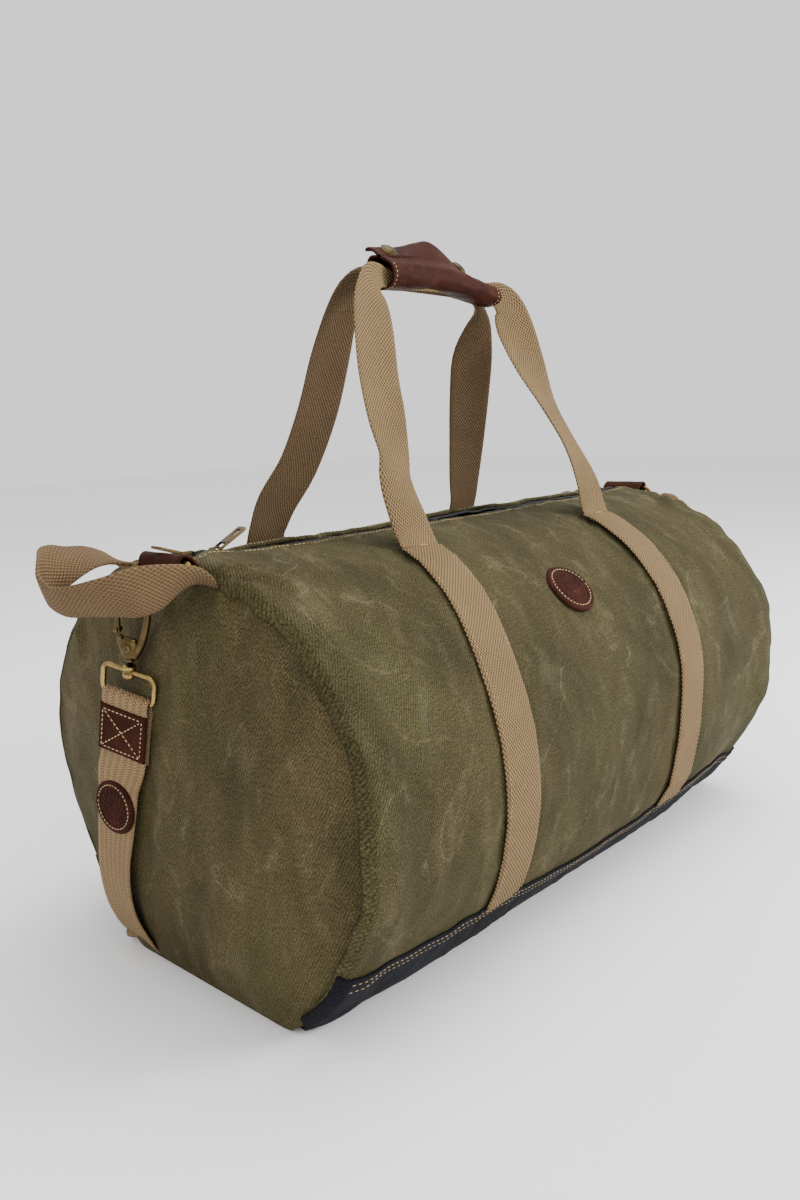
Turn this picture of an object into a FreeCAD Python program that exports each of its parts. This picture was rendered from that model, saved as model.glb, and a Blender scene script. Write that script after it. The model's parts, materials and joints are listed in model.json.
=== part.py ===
"""Canvas duffel bag with webbing handles, end grab loops and a hooked-on shoulder strap.

Millimetres. The origin is on the floor, at the middle of the base. +X runs along the bag,
from the end called left to the end called right, the front is -Y, and +Z is up.
"""
import FreeCAD, Part
import math
import os

V = FreeCAD.Vector

# Bag body
BODY_LENGTH = 557.0         # between the two end seams
BODY_HEIGHT = 300.0
CROWN_RADIUS = 195.0        # cross-section: arc over the top
CROWN_ANGLE = 34.0          # heading where the crown arc meets the shoulder arc
SHOULDER_RADIUS = 133.0     # arc from the crown to the widest level
FLANK_RADIUS = 230.0        # arc from the widest level to the floor
END_BULGE = 18.0            # how far each end stands out past its seam
CANVAS = 2.0                # canvas with its lining
HEM_HEADING = 118.0         # where the base panel laps the side panels
BOARD_THICKNESS = 3.0
ALLOWANCE = 5.0             # depth of the end seams' turned-in edge

# Zip along the top
FOLD_HALF_WIDTH = 50.0      # half the distance between the lines that the mouth folds along
LIP_EDGE = 14.0             # half the gap between the two canvas edges over the zip
LIP_END = 5.0               # sewn stretch of the top beyond each end of the lips
TAPE_HALF_WIDTH = 24.0
COIL_INNER = 0.7
COIL_OUTER = 3.4
SLIDER_END_X = -266.0       # the slider parked at the end
SLIDER_MAIN_X = -244.0      # the slider that opens the bag
SLIDER_LENGTH = 14.0
SLIDER_WIDTH = 11.0
PULL_AXIS_Z = BODY_HEIGHT + 1.9
PULL_LENGTH = 26.0
PULL_WIDTH = 10.0

# Handles
WEBBING_WIDTH = 38.0
WEBBING = 3.0
ROOT_HEADING = 18.5         # where each handle leaves the bag
ROOT_X = {"front": (-112.0, 126.0), "back": (-146.0, 94.0)}
LEG_TOP_Z = 400.0           # the handles move as one piece above this level
GRIP_Z = 492.0
GRIP_HALF_LENGTH = 76.0
WRAP_HALF_LENGTH = 75.0
WRAP_WIDTH = 38.0
WRAP_HEIGHT = 30.0
LEATHER = 2.0
SNAP_X = (-40.0, 42.0)
SNAP_Y = 6.0

# Ends: leather tab, ring, snap hook and grab loop
TAB_X = 286.0
TAB_Z = 300.0
TAB_RADIUS = 6.0
TAB_Y = (-24.0, 17.0)
RING_WIRE = 4.0
RING_Y = (-27.5, 20.5)
RING_REACH_X = 309.5
RING_DROP = 16.0
LOOP_REACH_X = 371.0
LOOP_HALF_WIDTH = 52.0
LOOP_Z = 300.0
LOOP_PIVOT = (280.5, 295.0)     # x and z of the line that each loop folds about
FAR_LOOP_DROOP = 26.0       # the right loop hangs down by this many degrees
HANG_X = 301.5              # plane that the hook and the strap's frame hang in
HANG_TILT = 10.0            # lean of the hanging strap towards the back
EYE_WIRE = 4.5
EYE_HALF_WIDTH = 11.25      # to the middle of the wire
EYE_TOP = 6.4               # the eye's wire above the ring's wire
EYE_BOTTOM = 44.0
GATE_TIP = 7.0
GATE_PIVOT = 36.0
FRAME_TOP = 61.0
FRAME_BOTTOM = 87.0
FRAME_HALF_WIDTH = 28.0

# Shoulder strap
STRAP_WIDTH = 50.0
STRAP = 2.5
RUN_Y = 156.0               # middle of the stretch that stands behind the bag
RUN_Z = 26.6
RUN_LEAN = 22.0
RUN_HALF_LENGTH = 240.0
PATCH = (38.0, 40.0)
BADGE_RADIUS = 23.0
BADGE_X = -7.0
BADGE_HEADING = 41.0

SEAM_X = BODY_LENGTH / 2
LIP_X = SEAM_X - LIP_END
FOLD_HEADING = math.degrees(math.asin(FOLD_HALF_WIDTH / CROWN_RADIUS))
FRONT, BACK = -1, 1
LEFT, RIGHT = -1, 1
SIDE_NAMES = {FRONT: "front", BACK: "back"}
END_NAMES = {LEFT: "left", RIGHT: "right"}


def section_arcs():
    """The three arcs of half the cross-section: first heading, last heading, radius, centre."""
    crown = (0.0, BODY_HEIGHT - CROWN_RADIUS)
    turn = math.radians(CROWN_ANGLE)
    step = CROWN_RADIUS - SHOULDER_RADIUS
    shoulder = (step * math.sin(turn), crown[1] + step * math.cos(turn))
    flank = (shoulder[0] + SHOULDER_RADIUS - FLANK_RADIUS, shoulder[1])
    return [
        (0.0, CROWN_ANGLE, CROWN_RADIUS, crown),
        (CROWN_ANGLE, 90.0, SHOULDER_RADIUS, shoulder),
        (90.0, 180.0, FLANK_RADIUS, flank),
    ]


ARCS = section_arcs()


def skin(x, heading, offset, side):
    """Point of the bag's outline where it has turned by heading degrees from the top."""
    arc = next(a for a in ARCS if heading <= a[1])
    turn = math.radians(heading)
    out = arc[2] + offset
    return V(x, side * (arc[3][0] + out * math.sin(turn)), arc[3][1] + out * math.cos(turn))


def floor_heading(offset):
    """Heading at which the outline, moved out by offset, reaches its flat bottom."""
    radius, centre = ARCS[2][2:]
    return math.degrees(math.acos((-offset - centre[1]) / (radius + offset)))


def outline_edges(x, start, end, offset, side):
    """Arc edges of the outline from one heading to another, either way round."""
    low, high = min(start, end), max(start, end)
    stops = [low] + [a[1] for a in ARCS if low < a[1] < high] + [high]
    spans = list(zip(stops, stops[1:]))
    if start > end:
        spans = [(b, a) for a, b in reversed(spans)]
    edges = []
    for a, b in spans:
        points = [skin(x, h, offset, side) for h in (a, (a + b) / 2, b)]
        edges.append(Part.Arc(*points).toShape())
    return edges


def line(a, b):
    return Part.LineSegment(a, b).toShape()


def band(x0, x1, start, end, inner, outer, side):
    """Solid strip of the bag's skin between two headings and two offsets."""
    edges = outline_edges(x0, start, end, outer, side)
    edges.append(line(skin(x0, end, outer, side), skin(x0, end, inner, side)))
    edges += outline_edges(x0, end, start, inner, side)
    edges.append(line(skin(x0, start, inner, side), skin(x0, start, outer, side)))
    return Part.Face(Part.Wire(edges)).extrude(V(x1 - x0, 0, 0))


def outline_wire(x, offset):
    """Closed outline of the whole cross-section with its flat bottom."""
    bottom = floor_heading(offset)
    edges = outline_edges(x, 0.0, bottom, offset, FRONT)
    edges.append(line(skin(x, bottom, offset, FRONT), skin(x, bottom, offset, BACK)))
    edges += outline_edges(x, bottom, 0.0, offset, BACK)
    return Part.Wire(edges)


def ring_prism(x0, x1, inner, outer):
    """Hoop that follows the cross-section."""
    solids = []
    for offset in (outer, inner):
        solids.append(Part.Face(outline_wire(x0, offset)).extrude(V(x1 - x0, 0, 0)))
    return solids[0].cut(solids[1])


def cylinder(start, end, radius):
    axis = end - start
    return Part.makeCylinder(radius, axis.Length, start, axis)


def box(low, high):
    size = high - low
    return Part.makeBox(size.x, size.y, size.z, low)


def fuse(shapes):
    """One solid from several that touch or overlap."""
    whole = shapes[0]
    for shape in shapes[1:]:
        whole = whole.fuse(shape)
    return whole.removeSplitter()


def ribbon(stations):
    """Strap through stations (centre, width direction, thickness direction, width, thickness)."""
    wires = []
    for centre, across, through, width, thickness in stations:
        a = V(*across).normalize() * (width / 2)
        b = V(*through).normalize() * (thickness / 2)
        c = V(*centre)
        wires.append(Part.makePolygon([c + a + b, c - a + b, c - a - b, c + a - b, c + a + b]))
    return Part.makeLoft(wires, True, True)


def mirrored(shape, end):
    """The same piece at the end asked for; pieces are drawn at the left end."""
    if end == LEFT:
        return shape
    return shape.mirror(V(0, 0, 0), V(1, 0, 0))


# ---------------------------------------------------------------- bag body

def side_panel(side):
    return band(-SEAM_X, SEAM_X, FOLD_HEADING + 0.1, HEM_HEADING - 0.1, -CANVAS, 0.0, side)


def base_panel():
    """Trough under the bag: a flat bottom with both sides turned up to the hem."""
    outer_bottom, inner_bottom = floor_heading(0.0), floor_heading(-CANVAS)
    x = -SEAM_X
    edges = outline_edges(x, HEM_HEADING, outer_bottom, 0.0, FRONT)
    edges.append(line(skin(x, outer_bottom, 0, FRONT), skin(x, outer_bottom, 0, BACK)))
    edges += outline_edges(x, outer_bottom, HEM_HEADING, 0.0, BACK)
    edges.append(line(skin(x, HEM_HEADING, 0, BACK), skin(x, HEM_HEADING, -CANVAS, BACK)))
    edges += outline_edges(x, HEM_HEADING, inner_bottom, -CANVAS, BACK)
    edges.append(
        line(skin(x, inner_bottom, -CANVAS, BACK), skin(x, inner_bottom, -CANVAS, FRONT))
    )
    edges += outline_edges(x, inner_bottom, HEM_HEADING, -CANVAS, FRONT)
    edges.append(line(skin(x, HEM_HEADING, -CANVAS, FRONT), skin(x, HEM_HEADING, 0, FRONT)))
    return Part.Face(Part.Wire(edges)).extrude(V(BODY_LENGTH, 0, 0))


def base_board():
    width = 2 * (abs(skin(0, floor_heading(-CANVAS), -CANVAS, FRONT).y) - 12.0)
    size = V(BODY_LENGTH - 30.0, width, BOARD_THICKNESS)
    return box(V(-size.x / 2, -size.y / 2, CANVAS), V(size.x / 2, size.y / 2, CANVAS + size.z))


def end_dome(inset, lift):
    """Solid pillow that closes an end: outlines that shrink as they leave the seam."""
    wires = []
    for share in (1.0, 0.93, 0.8, 0.6, 0.35, 0.12):
        stand = (END_BULGE - lift) * math.sqrt(1 - share * share)
        offset = -(inset + (1 - share) * 118.0)
        wires.append(outline_wire(-SEAM_X - stand, offset))
    return Part.makeLoft(wires, True, True)


def end_panel():
    """Bulging end with the turned-in allowance that is sewn to the body."""
    rim = CANVAS + 0.3
    shell = end_dome(rim, 0.0).cut(end_dome(rim + CANVAS, CANVAS))
    allowance = ring_prism(-SEAM_X, -SEAM_X + ALLOWANCE, -rim - CANVAS, -rim)
    return fuse([shell, allowance])


def seam_binding():
    rim = 2 * CANVAS + 0.4
    return ring_prism(-SEAM_X + 1.5, -SEAM_X + ALLOWANCE, -rim - 1.0, -rim)


def zip_end_patch():
    """Closed stretch of the top between the lips and the end seam."""
    halves = []
    for side in (FRONT, BACK):
        halves.append(band(-SEAM_X, -LIP_X - 0.5, 0.0, FOLD_HEADING, -CANVAS, 0.0, side))
    return fuse(halves)


# ---------------------------------------------------------------- zip

def heading_at(half_width):
    return math.degrees(math.asin(half_width / CROWN_RADIUS))


def lip(side):
    """Canvas strip between the fold line and the zip."""
    return band(-LIP_X, LIP_X, heading_at(LIP_EDGE), FOLD_HEADING - 0.1, -CANVAS, 0.0, side)


def zip_tape(side):
    tape = CANVAS + 0.1
    ends = LIP_X - 8.0
    first, last = heading_at(COIL_OUTER + 0.1), heading_at(TAPE_HALF_WIDTH)
    return band(-ends, ends, first, last, -tape - 0.9, -tape, side)


def zip_coil(side):
    ends = LIP_X - 8.0
    low = V(-ends, min(side * COIL_INNER, side * COIL_OUTER), BODY_HEIGHT - 3.8)
    return box(low, V(ends, low.y + COIL_OUTER - COIL_INNER, BODY_HEIGHT - 1.1))


def slider(x):
    """Zip slider: top and bottom plates, the nose between the coils, and the bridge for the pull."""
    half_length, half_width = SLIDER_LENGTH / 2, SLIDER_WIDTH / 2
    plate_low, plate_high = BODY_HEIGHT - 0.7, BODY_HEIGHT + 0.9
    top = box(V(x - half_length, -half_width, plate_low), V(x + half_length, half_width, plate_high))
    top = top.makeFillet(2.5, [e for e in top.Edges if abs(e.tangentAt(0).z) > 0.9])
    bottom = box(
        V(x - half_length, -half_width, BODY_HEIGHT - 6.4),
        V(x + half_length, half_width, BODY_HEIGHT - 4.8),
    )
    nose = box(V(x - 3, -0.5, BODY_HEIGHT - 5.0), V(x + 3, 0.5, plate_low + 0.2))
    bridge = box(V(x - 5, -1.2, plate_high - 0.2), V(x + 5, 1.2, plate_high + 3.4))
    upper = [e for e in bridge.Edges if abs(e.tangentAt(0).y) > 0.9 and e.CenterOfMass.z > PULL_AXIS_Z]
    bridge = bridge.makeFillet(2.2, upper)
    window = box(V(x - 3.2, -2, plate_high), V(x + 3.2, 2, plate_high + 2.1))
    return fuse([top, bottom, nose, bridge.cut(window)])


def pull(x, tilt, turn):
    """Pull tab: a pin under the slider's bridge, two arms, and a plate with a slot."""
    pin = cylinder(V(0, -5.0, 0), V(0, 5.0, 0), 0.75)
    arms = [box(V(-9, y - 0.7, -0.75), V(0, y + 0.7, 0.75)) for y in (-4.3, 4.3)]
    plate = box(V(-PULL_LENGTH, -PULL_WIDTH / 2, -0.8), V(-8, PULL_WIDTH / 2, 0.8))
    plate = plate.makeFillet(1.8, [e for e in plate.Edges if abs(e.tangentAt(0).z) > 0.9])
    slot = box(V(-PULL_LENGTH + 3, -2.2, -2), V(-PULL_LENGTH + 10, 2.2, 2))
    shape = fuse([pin] + arms + [plate.cut(slot)])
    shape.rotate(V(0, 0, 0), V(0, 1, 0), tilt)
    shape.rotate(V(0, 0, 0), V(0, 0, 1), turn)
    shape.translate(V(x, 0, PULL_AXIS_Z))
    return shape


# ---------------------------------------------------------------- handles

def root_x(side, end):
    return ROOT_X[SIDE_NAMES[side]][0 if end == LEFT else 1]


def sewn_strap(side, end):
    """Webbing sewn to the side panel, from the hem up to the stitched root."""
    x = root_x(side, end)
    return band(
        x - WEBBING_WIDTH / 2, x + WEBBING_WIDTH / 2, ROOT_HEADING, HEM_HEADING, 0.0, WEBBING, side
    )


def leg_stations(side, end):
    """Stations of the free leg, from the root up to where the handles move as one piece."""
    x = root_x(side, end)
    turn = math.radians(ROOT_HEADING)
    root = skin(x, ROOT_HEADING, WEBBING / 2, side)
    lean = side * 10.0
    outward = (0, side * math.sin(turn), math.cos(turn))
    stations = [((x, root.y, root.z), (1, 0, 0), outward, WEBBING_WIDTH, WEBBING)]
    for rise, inward, y_share in ((20.0, 1.0, 0.96), (55.0, 5.0, 0.76)):
        stations.append(
            (
                (x - end * inward, root.y * y_share, root.z + rise),
                (1, 0, 0),
                (0, side, 0.25),
                WEBBING_WIDTH,
                WEBBING,
            )
        )
    stations.append(((x - end * 18.0, lean * 2.9, LEG_TOP_Z), (1, 0, 0), (0, side, 0.25), 36.0, WEBBING))
    return stations


def handle_leg(side, end):
    return ribbon(leg_stations(side, end))


def handle_grip(side):
    """Webbing of one handle above the legs, folded lengthways inside the leather wrap."""
    stations = []
    for end in (LEFT, RIGHT):
        top = leg_stations(side, end)[-1]
        x = top[0][0]
        corner = end * (GRIP_HALF_LENGTH + 12.0)
        half = [
            top,
            (((x + corner) / 2, side * 17.0, 455.0), (1, 0, end * 0.25), (0, side, 0.2), 32.0, 4.0),
            ((corner, side * 9.0, 484.0), (1, 0, end), (0, side, 0), 24.0, 7.0),
            ((end * GRIP_HALF_LENGTH, side * 6.2, GRIP_Z), (0, 0, end), (0, side, 0), 20.0, 9.0),
        ]
        stations += half if end == LEFT else [flip(s) for s in reversed(half)]
    return ribbon(stations)


def flip(station):
    """The same rectangle with its width direction turned round, to keep a loft untwisted."""
    centre, across, through, width, thickness = station
    return centre, tuple(-c for c in across), through, width, thickness


def wrap_section(width, height, radius):
    """Rounded bar along X around the grips, used to cut the leather wrap."""
    bar = box(
        V(-WRAP_HALF_LENGTH, -width / 2, GRIP_Z - height / 2),
        V(WRAP_HALF_LENGTH, width / 2, GRIP_Z + height / 2),
    )
    return bar.makeFillet(radius, [e for e in bar.Edges if abs(e.tangentAt(0).x) > 0.9])


def wrap_base():
    """Leather sleeve round both grips, open along the front half of its top."""
    sleeve = wrap_section(WRAP_WIDTH, WRAP_HEIGHT, 8.0).cut(
        wrap_section(WRAP_WIDTH - 2 * LEATHER, WRAP_HEIGHT - 2 * LEATHER, 6.0)
    )
    mouth = box(
        V(-100, -WRAP_WIDTH / 2 + 5.0, GRIP_Z + WRAP_HEIGHT / 2 - 6.0), V(100, -2.0, GRIP_Z + 40.0)
    )
    return sleeve.cut(mouth)


def wrap_flap():
    """Leather flap that closes the sleeve and carries the two snaps."""
    low = GRIP_Z + WRAP_HEIGHT / 2 + 0.6
    flap = box(V(-WRAP_HALF_LENGTH, -13.0, low), V(WRAP_HALF_LENGTH, 21.0, low + LEATHER))
    free_corners = [e for e in flap.Edges if abs(e.tangentAt(0).z) > 0.9 and e.CenterOfMass.y > 0]
    return flap.makeFillet(6.0, free_corners)


def snap_caps():
    """Domed outer halves of the two snaps, pressed on the flap."""
    base = GRIP_Z + WRAP_HEIGHT / 2 + 0.6 + LEATHER
    caps = []
    for x in SNAP_X:
        ball = Part.makeSphere(11.0, V(x, SNAP_Y, base - 8.0))
        caps.append(ball.common(Part.makeCylinder(7.0, 6.0, V(x, SNAP_Y, base))))
    return Part.makeCompound(caps)


def snap_studs():
    """Inner halves of the snaps, under the sleeve's top leaf."""
    base = GRIP_Z + WRAP_HEIGHT / 2 - LEATHER - 1.0
    return Part.makeCompound([Part.makeCylinder(5.0, 1.0, V(x, SNAP_Y, base)) for x in SNAP_X])


# ---------------------------------------------------------------- ends

def ring_tab():
    """Leather strip folded round the ring's bar, with its tail sewn into the seam."""
    tube = cylinder(V(-TAB_X, TAB_Y[0], TAB_Z), V(-TAB_X, TAB_Y[1], TAB_Z), TAB_RADIUS)
    tail = box(V(-TAB_X, TAB_Y[0], TAB_Z - 1.5), V(-SEAM_X - 0.2, TAB_Y[1], TAB_Z + 1.5))
    bore = cylinder(V(-TAB_X, -60, TAB_Z), V(-TAB_X, 60, TAB_Z), TAB_RADIUS - LEATHER)
    return fuse([tube, tail]).cut(bore)


def end_ring():
    """Rectangular wire ring that turns in the tab and leans out over the end."""
    r = RING_WIRE / 2
    bar, foot = V(-TAB_X, 0, TAB_Z), V(-RING_REACH_X, 0, TAB_Z - RING_DROP)
    corners = [bar + V(0, RING_Y[0], 0), bar + V(0, RING_Y[1], 0)]
    corners += [foot + V(0, RING_Y[1], 0), foot + V(0, RING_Y[0], 0)]
    pieces = [Part.makeSphere(r, c) for c in corners]
    for a, b in zip(corners, corners[1:] + corners[:1]):
        pieces.append(cylinder(a, b, r))
    return fuse(pieces)


def hang_origin():
    """Point on the ring's back arm that the snap hook hangs from."""
    share = (HANG_X - TAB_X) / (RING_REACH_X - TAB_X)
    return V(-HANG_X, RING_Y[1], TAB_Z - share * RING_DROP)


def hung(shape):
    """Places a piece drawn hanging straight down from the origin, in the YZ plane."""
    shape.rotate(V(0, 0, 0), V(1, 0, 0), HANG_TILT)
    shape.translate(hang_origin())
    return shape


def half_ring(centre_z, upper):
    ring = Part.makeTorus(EYE_HALF_WIDTH, EYE_WIRE / 2, V(0, 0, centre_z), V(1, 0, 0))
    low = centre_z if upper else centre_z - 30
    return ring.common(box(V(-10, -30, low), V(10, 30, low + 30)))


def snap_hook():
    """Oval eye with an open side, base and swivel post."""
    r = EYE_WIRE / 2
    top, bottom = EYE_TOP - EYE_HALF_WIDTH, EYE_HALF_WIDTH - EYE_BOTTOM
    back = cylinder(V(0, -EYE_HALF_WIDTH, top), V(0, -EYE_HALF_WIDTH, bottom), r)
    nose = cylinder(V(0, EYE_HALF_WIDTH, top), V(0, EYE_HALF_WIDTH, -GATE_TIP + 0.4), r)
    lug = cylinder(V(-3.2, EYE_HALF_WIDTH, -GATE_PIVOT), V(3.2, EYE_HALF_WIDTH, -GATE_PIVOT), 3.2)
    lug = lug.cut(box(V(-1.7, 0, -GATE_PIVOT - 3.3), V(1.7, 30, -GATE_PIVOT + 10)))
    pin = cylinder(V(-3, EYE_HALF_WIDTH, -GATE_PIVOT), V(3, EYE_HALF_WIDTH, -GATE_PIVOT), 0.9)
    heel = half_ring(bottom, False)
    slot = box(V(-1.7, EYE_HALF_WIDTH - 3.8, bottom - 6.6), V(1.7, EYE_HALF_WIDTH + 4, bottom + 1))
    heel = heel.cut(slot)
    base = box(V(-3.2, -6.5, -EYE_BOTTOM - 9), V(3.2, 6.5, -EYE_BOTTOM + 1))
    base = base.makeFillet(2.0, [e for e in base.Edges if abs(e.tangentAt(0).x) > 0.9])
    rivet = cylinder(V(-4.0, 0, -EYE_BOTTOM - 4), V(4.0, 0, -EYE_BOTTOM - 4), 2.6)
    post = cylinder(V(0, 0, -EYE_BOTTOM - 8), V(0, 0, -FRAME_TOP - 5.0), 2.0)
    head = cylinder(V(0, 0, -FRAME_TOP - 4.2), V(0, 0, -FRAME_TOP - 6.4), 3.4)
    return hung(fuse([half_ring(top, True), back, nose, lug, pin, heel, base, rivet, post, head]))


def hook_gate():
    """Spring gate that closes the eye's open side, bored for its pivot."""
    start, end = V(0, EYE_HALF_WIDTH, -GATE_PIVOT), V(0, EYE_HALF_WIDTH, -GATE_TIP - 0.3)
    arm = cylinder(start, end, 1.5)
    eye = cylinder(start - V(1.5, 0, 0), start + V(1.5, 0, 0), 2.6)
    bore = cylinder(start - V(5, 0, 0), start + V(5, 0, 0), 0.95)
    return hung(fuse([arm, eye]).cut(bore))


def strap_frame():
    """Rectangular wire frame with the boss that the hook's post turns in."""
    r = EYE_WIRE / 2
    corners = [
        V(0, y, z)
        for y, z in (
            (-FRAME_HALF_WIDTH, -FRAME_TOP),
            (FRAME_HALF_WIDTH, -FRAME_TOP),
            (FRAME_HALF_WIDTH, -FRAME_BOTTOM),
            (-FRAME_HALF_WIDTH, -FRAME_BOTTOM),
        )
    ]
    wire = [Part.makeSphere(r, c) for c in corners]
    wire += [cylinder(a, b, r) for a, b in zip(corners, corners[1:] + corners[:1])]
    boss = cylinder(V(0, 0, -FRAME_TOP + 3.8), V(0, 0, -FRAME_TOP - 3.8), 4.4)
    bore = cylinder(V(0, 0, -FRAME_TOP + 10), V(0, 0, -FRAME_TOP - 10), 2.1)
    return hung(fuse(wire + [boss]).cut(bore))


def strap_tail_point():
    """Where the straight doubled end of the strap stops and the single strap goes on."""
    turn = math.radians(HANG_TILT)
    down = FRAME_BOTTOM + 42.0
    origin = hang_origin()
    return V(origin.x, origin.y + down * math.sin(turn), origin.z - down * math.cos(turn))


def strap_end():
    """Strap doubled round the frame's lower bar, then single as far as the badge."""
    bar = V(0, 0, -FRAME_BOTTOM)
    half = STRAP_WIDTH / 2
    r = EYE_WIRE / 2 + 0.15
    loop = cylinder(bar + V(0, -half, 0), bar + V(0, half, 0), r + STRAP - 0.2)
    doubled = box(V(-STRAP, -half, -FRAME_BOTTOM - 45), V(STRAP, half, -FRAME_BOTTOM))
    bore = cylinder(bar + V(0, -40, 0), bar + V(0, 40, 0), r)
    upper = hung(fuse([loop, doubled]).cut(bore))
    start = strap_tail_point()
    x = start.x + STRAP / 2
    lower = ribbon(
        [
            ((x, start.y, start.z + 2), (0, 1, 0.20), (1, 0, 0), STRAP_WIDTH, STRAP),
            ((x, start.y + 14, start.z - 32), (0, 1, 0.35), (1, 0, 0), STRAP_WIDTH, STRAP),
            ((x, start.y + 28, start.z - 66), (0, 1, 0.40), (1, 0, 0), STRAP_WIDTH, STRAP),
        ]
    )
    return fuse([upper, lower])


def drop_stations():
    """Stations of the loose strap from the badge down and round the bag's lower back corner."""
    start = strap_tail_point()
    x = start.x + STRAP / 2
    lean = math.radians(RUN_LEAN)
    upright = (0, -math.sin(lean), math.cos(lean))
    inward = (0, -math.cos(lean), -math.sin(lean))
    return [
        ((x, start.y + 28, start.z - 66), (0, 1, 0.40), (1, 0, 0), STRAP_WIDTH, STRAP),
        ((x + 0.5, 92.0, 62.0), (0.05, 1, 0.62), (1, -0.1, 0.05), STRAP_WIDTH, STRAP),
        ((x + 4, 124.0, 38.0), (0.10, 0.9, 1.3), (1, -0.45, 0.15), STRAP_WIDTH, STRAP),
        ((x + 26, 159.0, 29.5), (0.1, 0.15, 1.6), (0.65, -1.0, 0.08), STRAP_WIDTH, STRAP),
        ((-RUN_HALF_LENGTH, RUN_Y, RUN_Z), upright, inward, STRAP_WIDTH, STRAP),
    ]


def strap_drop():
    return ribbon(drop_stations())


def strap_run():
    """Long stretch that stands on its edge behind the bag, from one end to the other."""
    near = drop_stations()[-1]
    far = ((RUN_HALF_LENGTH, RUN_Y, RUN_Z),) + near[1:]
    return ribbon([near, far])


def strap_patch():
    """Leather patch sewn over the strap's doubled end."""
    bottom = -FRAME_BOTTOM - 45.0
    patch = box(
        V(-STRAP - 1.8, -PATCH[0] / 2, bottom), V(-STRAP - 0.1, PATCH[0] / 2, bottom + PATCH[1])
    )
    patch = patch.makeFillet(3.0, [e for e in patch.Edges if abs(e.tangentAt(0).x) > 0.9])
    return hung(patch)


def strap_badge():
    start = strap_tail_point()
    centre = V(start.x - 0.1, start.y + 19, start.z - 38)
    return cylinder(centre, centre - V(1.9, 0, 0), BADGE_RADIUS - 2.0)


def strap_adjuster():
    """Flat three-bar buckle threaded on the run behind the bag."""
    half = STRAP_WIDTH / 2
    plate = box(V(-14, -3.2, -half - 2.2), V(14, 3.2, half + 2.2))
    tunnel = box(V(-40, -STRAP / 2 - 0.5, -half - 0.6), V(40, STRAP / 2 + 0.5, half + 0.6))
    shape = plate.cut(tunnel)
    for x in (-7.0, 7.0):
        shape = shape.cut(box(V(x - 4.5, -8, 1 - half), V(x + 4.5, 8, half - 1)))
    shape.rotate(V(0, 0, 0), V(1, 0, 0), RUN_LEAN)
    shape.translate(V(0, RUN_Y, RUN_Z))
    return shape


def grab_loop():
    """Webbing loop standing out from the end, with its width upright."""
    stations = []
    steps = 12
    for i in range(steps + 1):
        turn = math.pi * i / steps
        out = math.sin(turn) ** 0.75 if 0 < i < steps else 0.0
        along = math.cos(turn)
        x = -SEAM_X - 2.0 - (LOOP_REACH_X - SEAM_X - 4.0) * out
        y = -LOOP_HALF_WIDTH * along
        z = LOOP_Z - 5.0 + 5.0 * out
        tangent = V(-math.cos(turn) * 1.2, math.sin(turn), 0)
        through = V(tangent.y, -tangent.x, 0)
        width = 8.0 + 26.0 * min(1.0, 1.6 * out)
        stations.append(((x, y, z), (0, 0, 1), (through.x, through.y, 0), width, 4.0))
    return ribbon(stations)


def badge_front():
    """Leather roundel sewn on the front."""
    turn = math.radians(BADGE_HEADING)
    normal = V(0, -math.sin(turn), math.cos(turn))
    centre = skin(BADGE_X, BADGE_HEADING, 0, FRONT)
    disc = cylinder(centre - normal * 8, centre + normal * 8, BADGE_RADIUS)
    return disc.common(band(-60, 60, 20, 60, 0.0, LEATHER, FRONT))


def build():
    """All the pieces, by node name."""
    nodes = {
        "base_panel": base_panel(),
        "base_board": base_board(),
        "badge_front": badge_front(),
        "shoulder_strap_run": strap_run(),
        "strap_adjuster": strap_adjuster(),
        "slider_end": slider(SLIDER_END_X),
        "slider_main": slider(SLIDER_MAIN_X),
        "pull_end": pull(SLIDER_END_X, 18.0, 0.0),
        "pull_main": pull(SLIDER_MAIN_X, 30.0, 172.0),
        "wrap_base": wrap_base(),
        "wrap_flap": wrap_flap(),
        "snap_caps": snap_caps(),
        "snap_studs": snap_studs(),
        "strap_badge_left": strap_badge(),
    }
    for side, name in SIDE_NAMES.items():
        nodes[f"{name}_panel"] = side_panel(side)
        nodes[f"lip_{name}"] = lip(side)
        nodes[f"zip_tape_{name}"] = zip_tape(side)
        nodes[f"zip_coil_{name}"] = zip_coil(side)
        nodes[f"handle_grip_{name}"] = handle_grip(side)
        for end, end_name in END_NAMES.items():
            nodes[f"handle_strap_{name}_{end_name}"] = sewn_strap(side, end)
            nodes[f"handle_leg_{name}_{end_name}"] = handle_leg(side, end)
    at_both_ends = {
        "end_panel": end_panel,
        "seam_binding": seam_binding,
        "zip_end_patch": zip_end_patch,
        "ring_tab": ring_tab,
        "end_ring": end_ring,
        "snap_hook": snap_hook,
        "hook_gate": hook_gate,
        "strap_frame": strap_frame,
        "strap_end": strap_end,
        "strap_drop": strap_drop,
        "strap_patch": strap_patch,
        "grab_loop": grab_loop,
    }
    for name, make in at_both_ends.items():
        for end, end_name in END_NAMES.items():
            nodes[f"{name}_{end_name}"] = mirrored(make(), end)
    hinge = V(LOOP_PIVOT[0], 0, LOOP_PIVOT[1])
    nodes["grab_loop_right"].rotate(hinge, V(0, 1, 0), FAR_LOOP_DROOP)
    return nodes


def main():
    os.makedirs("parts", exist_ok=True)
    for name, shape in build().items():
        print(name, "valid", shape.isValid(), "solids", len(shape.Solids), "volume", round(shape.Volume))
        shape.exportStep(f"parts/{name}.step")


main()
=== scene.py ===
"""Looks of the canvas duffel bag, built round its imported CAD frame.

Lengths in the shape code are millimetres in the CAD frame, and meshes are made in metres.
"""
import json
import math

import bpy
import numpy as np
import bmesh
from mathutils import Matrix, Vector

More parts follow.
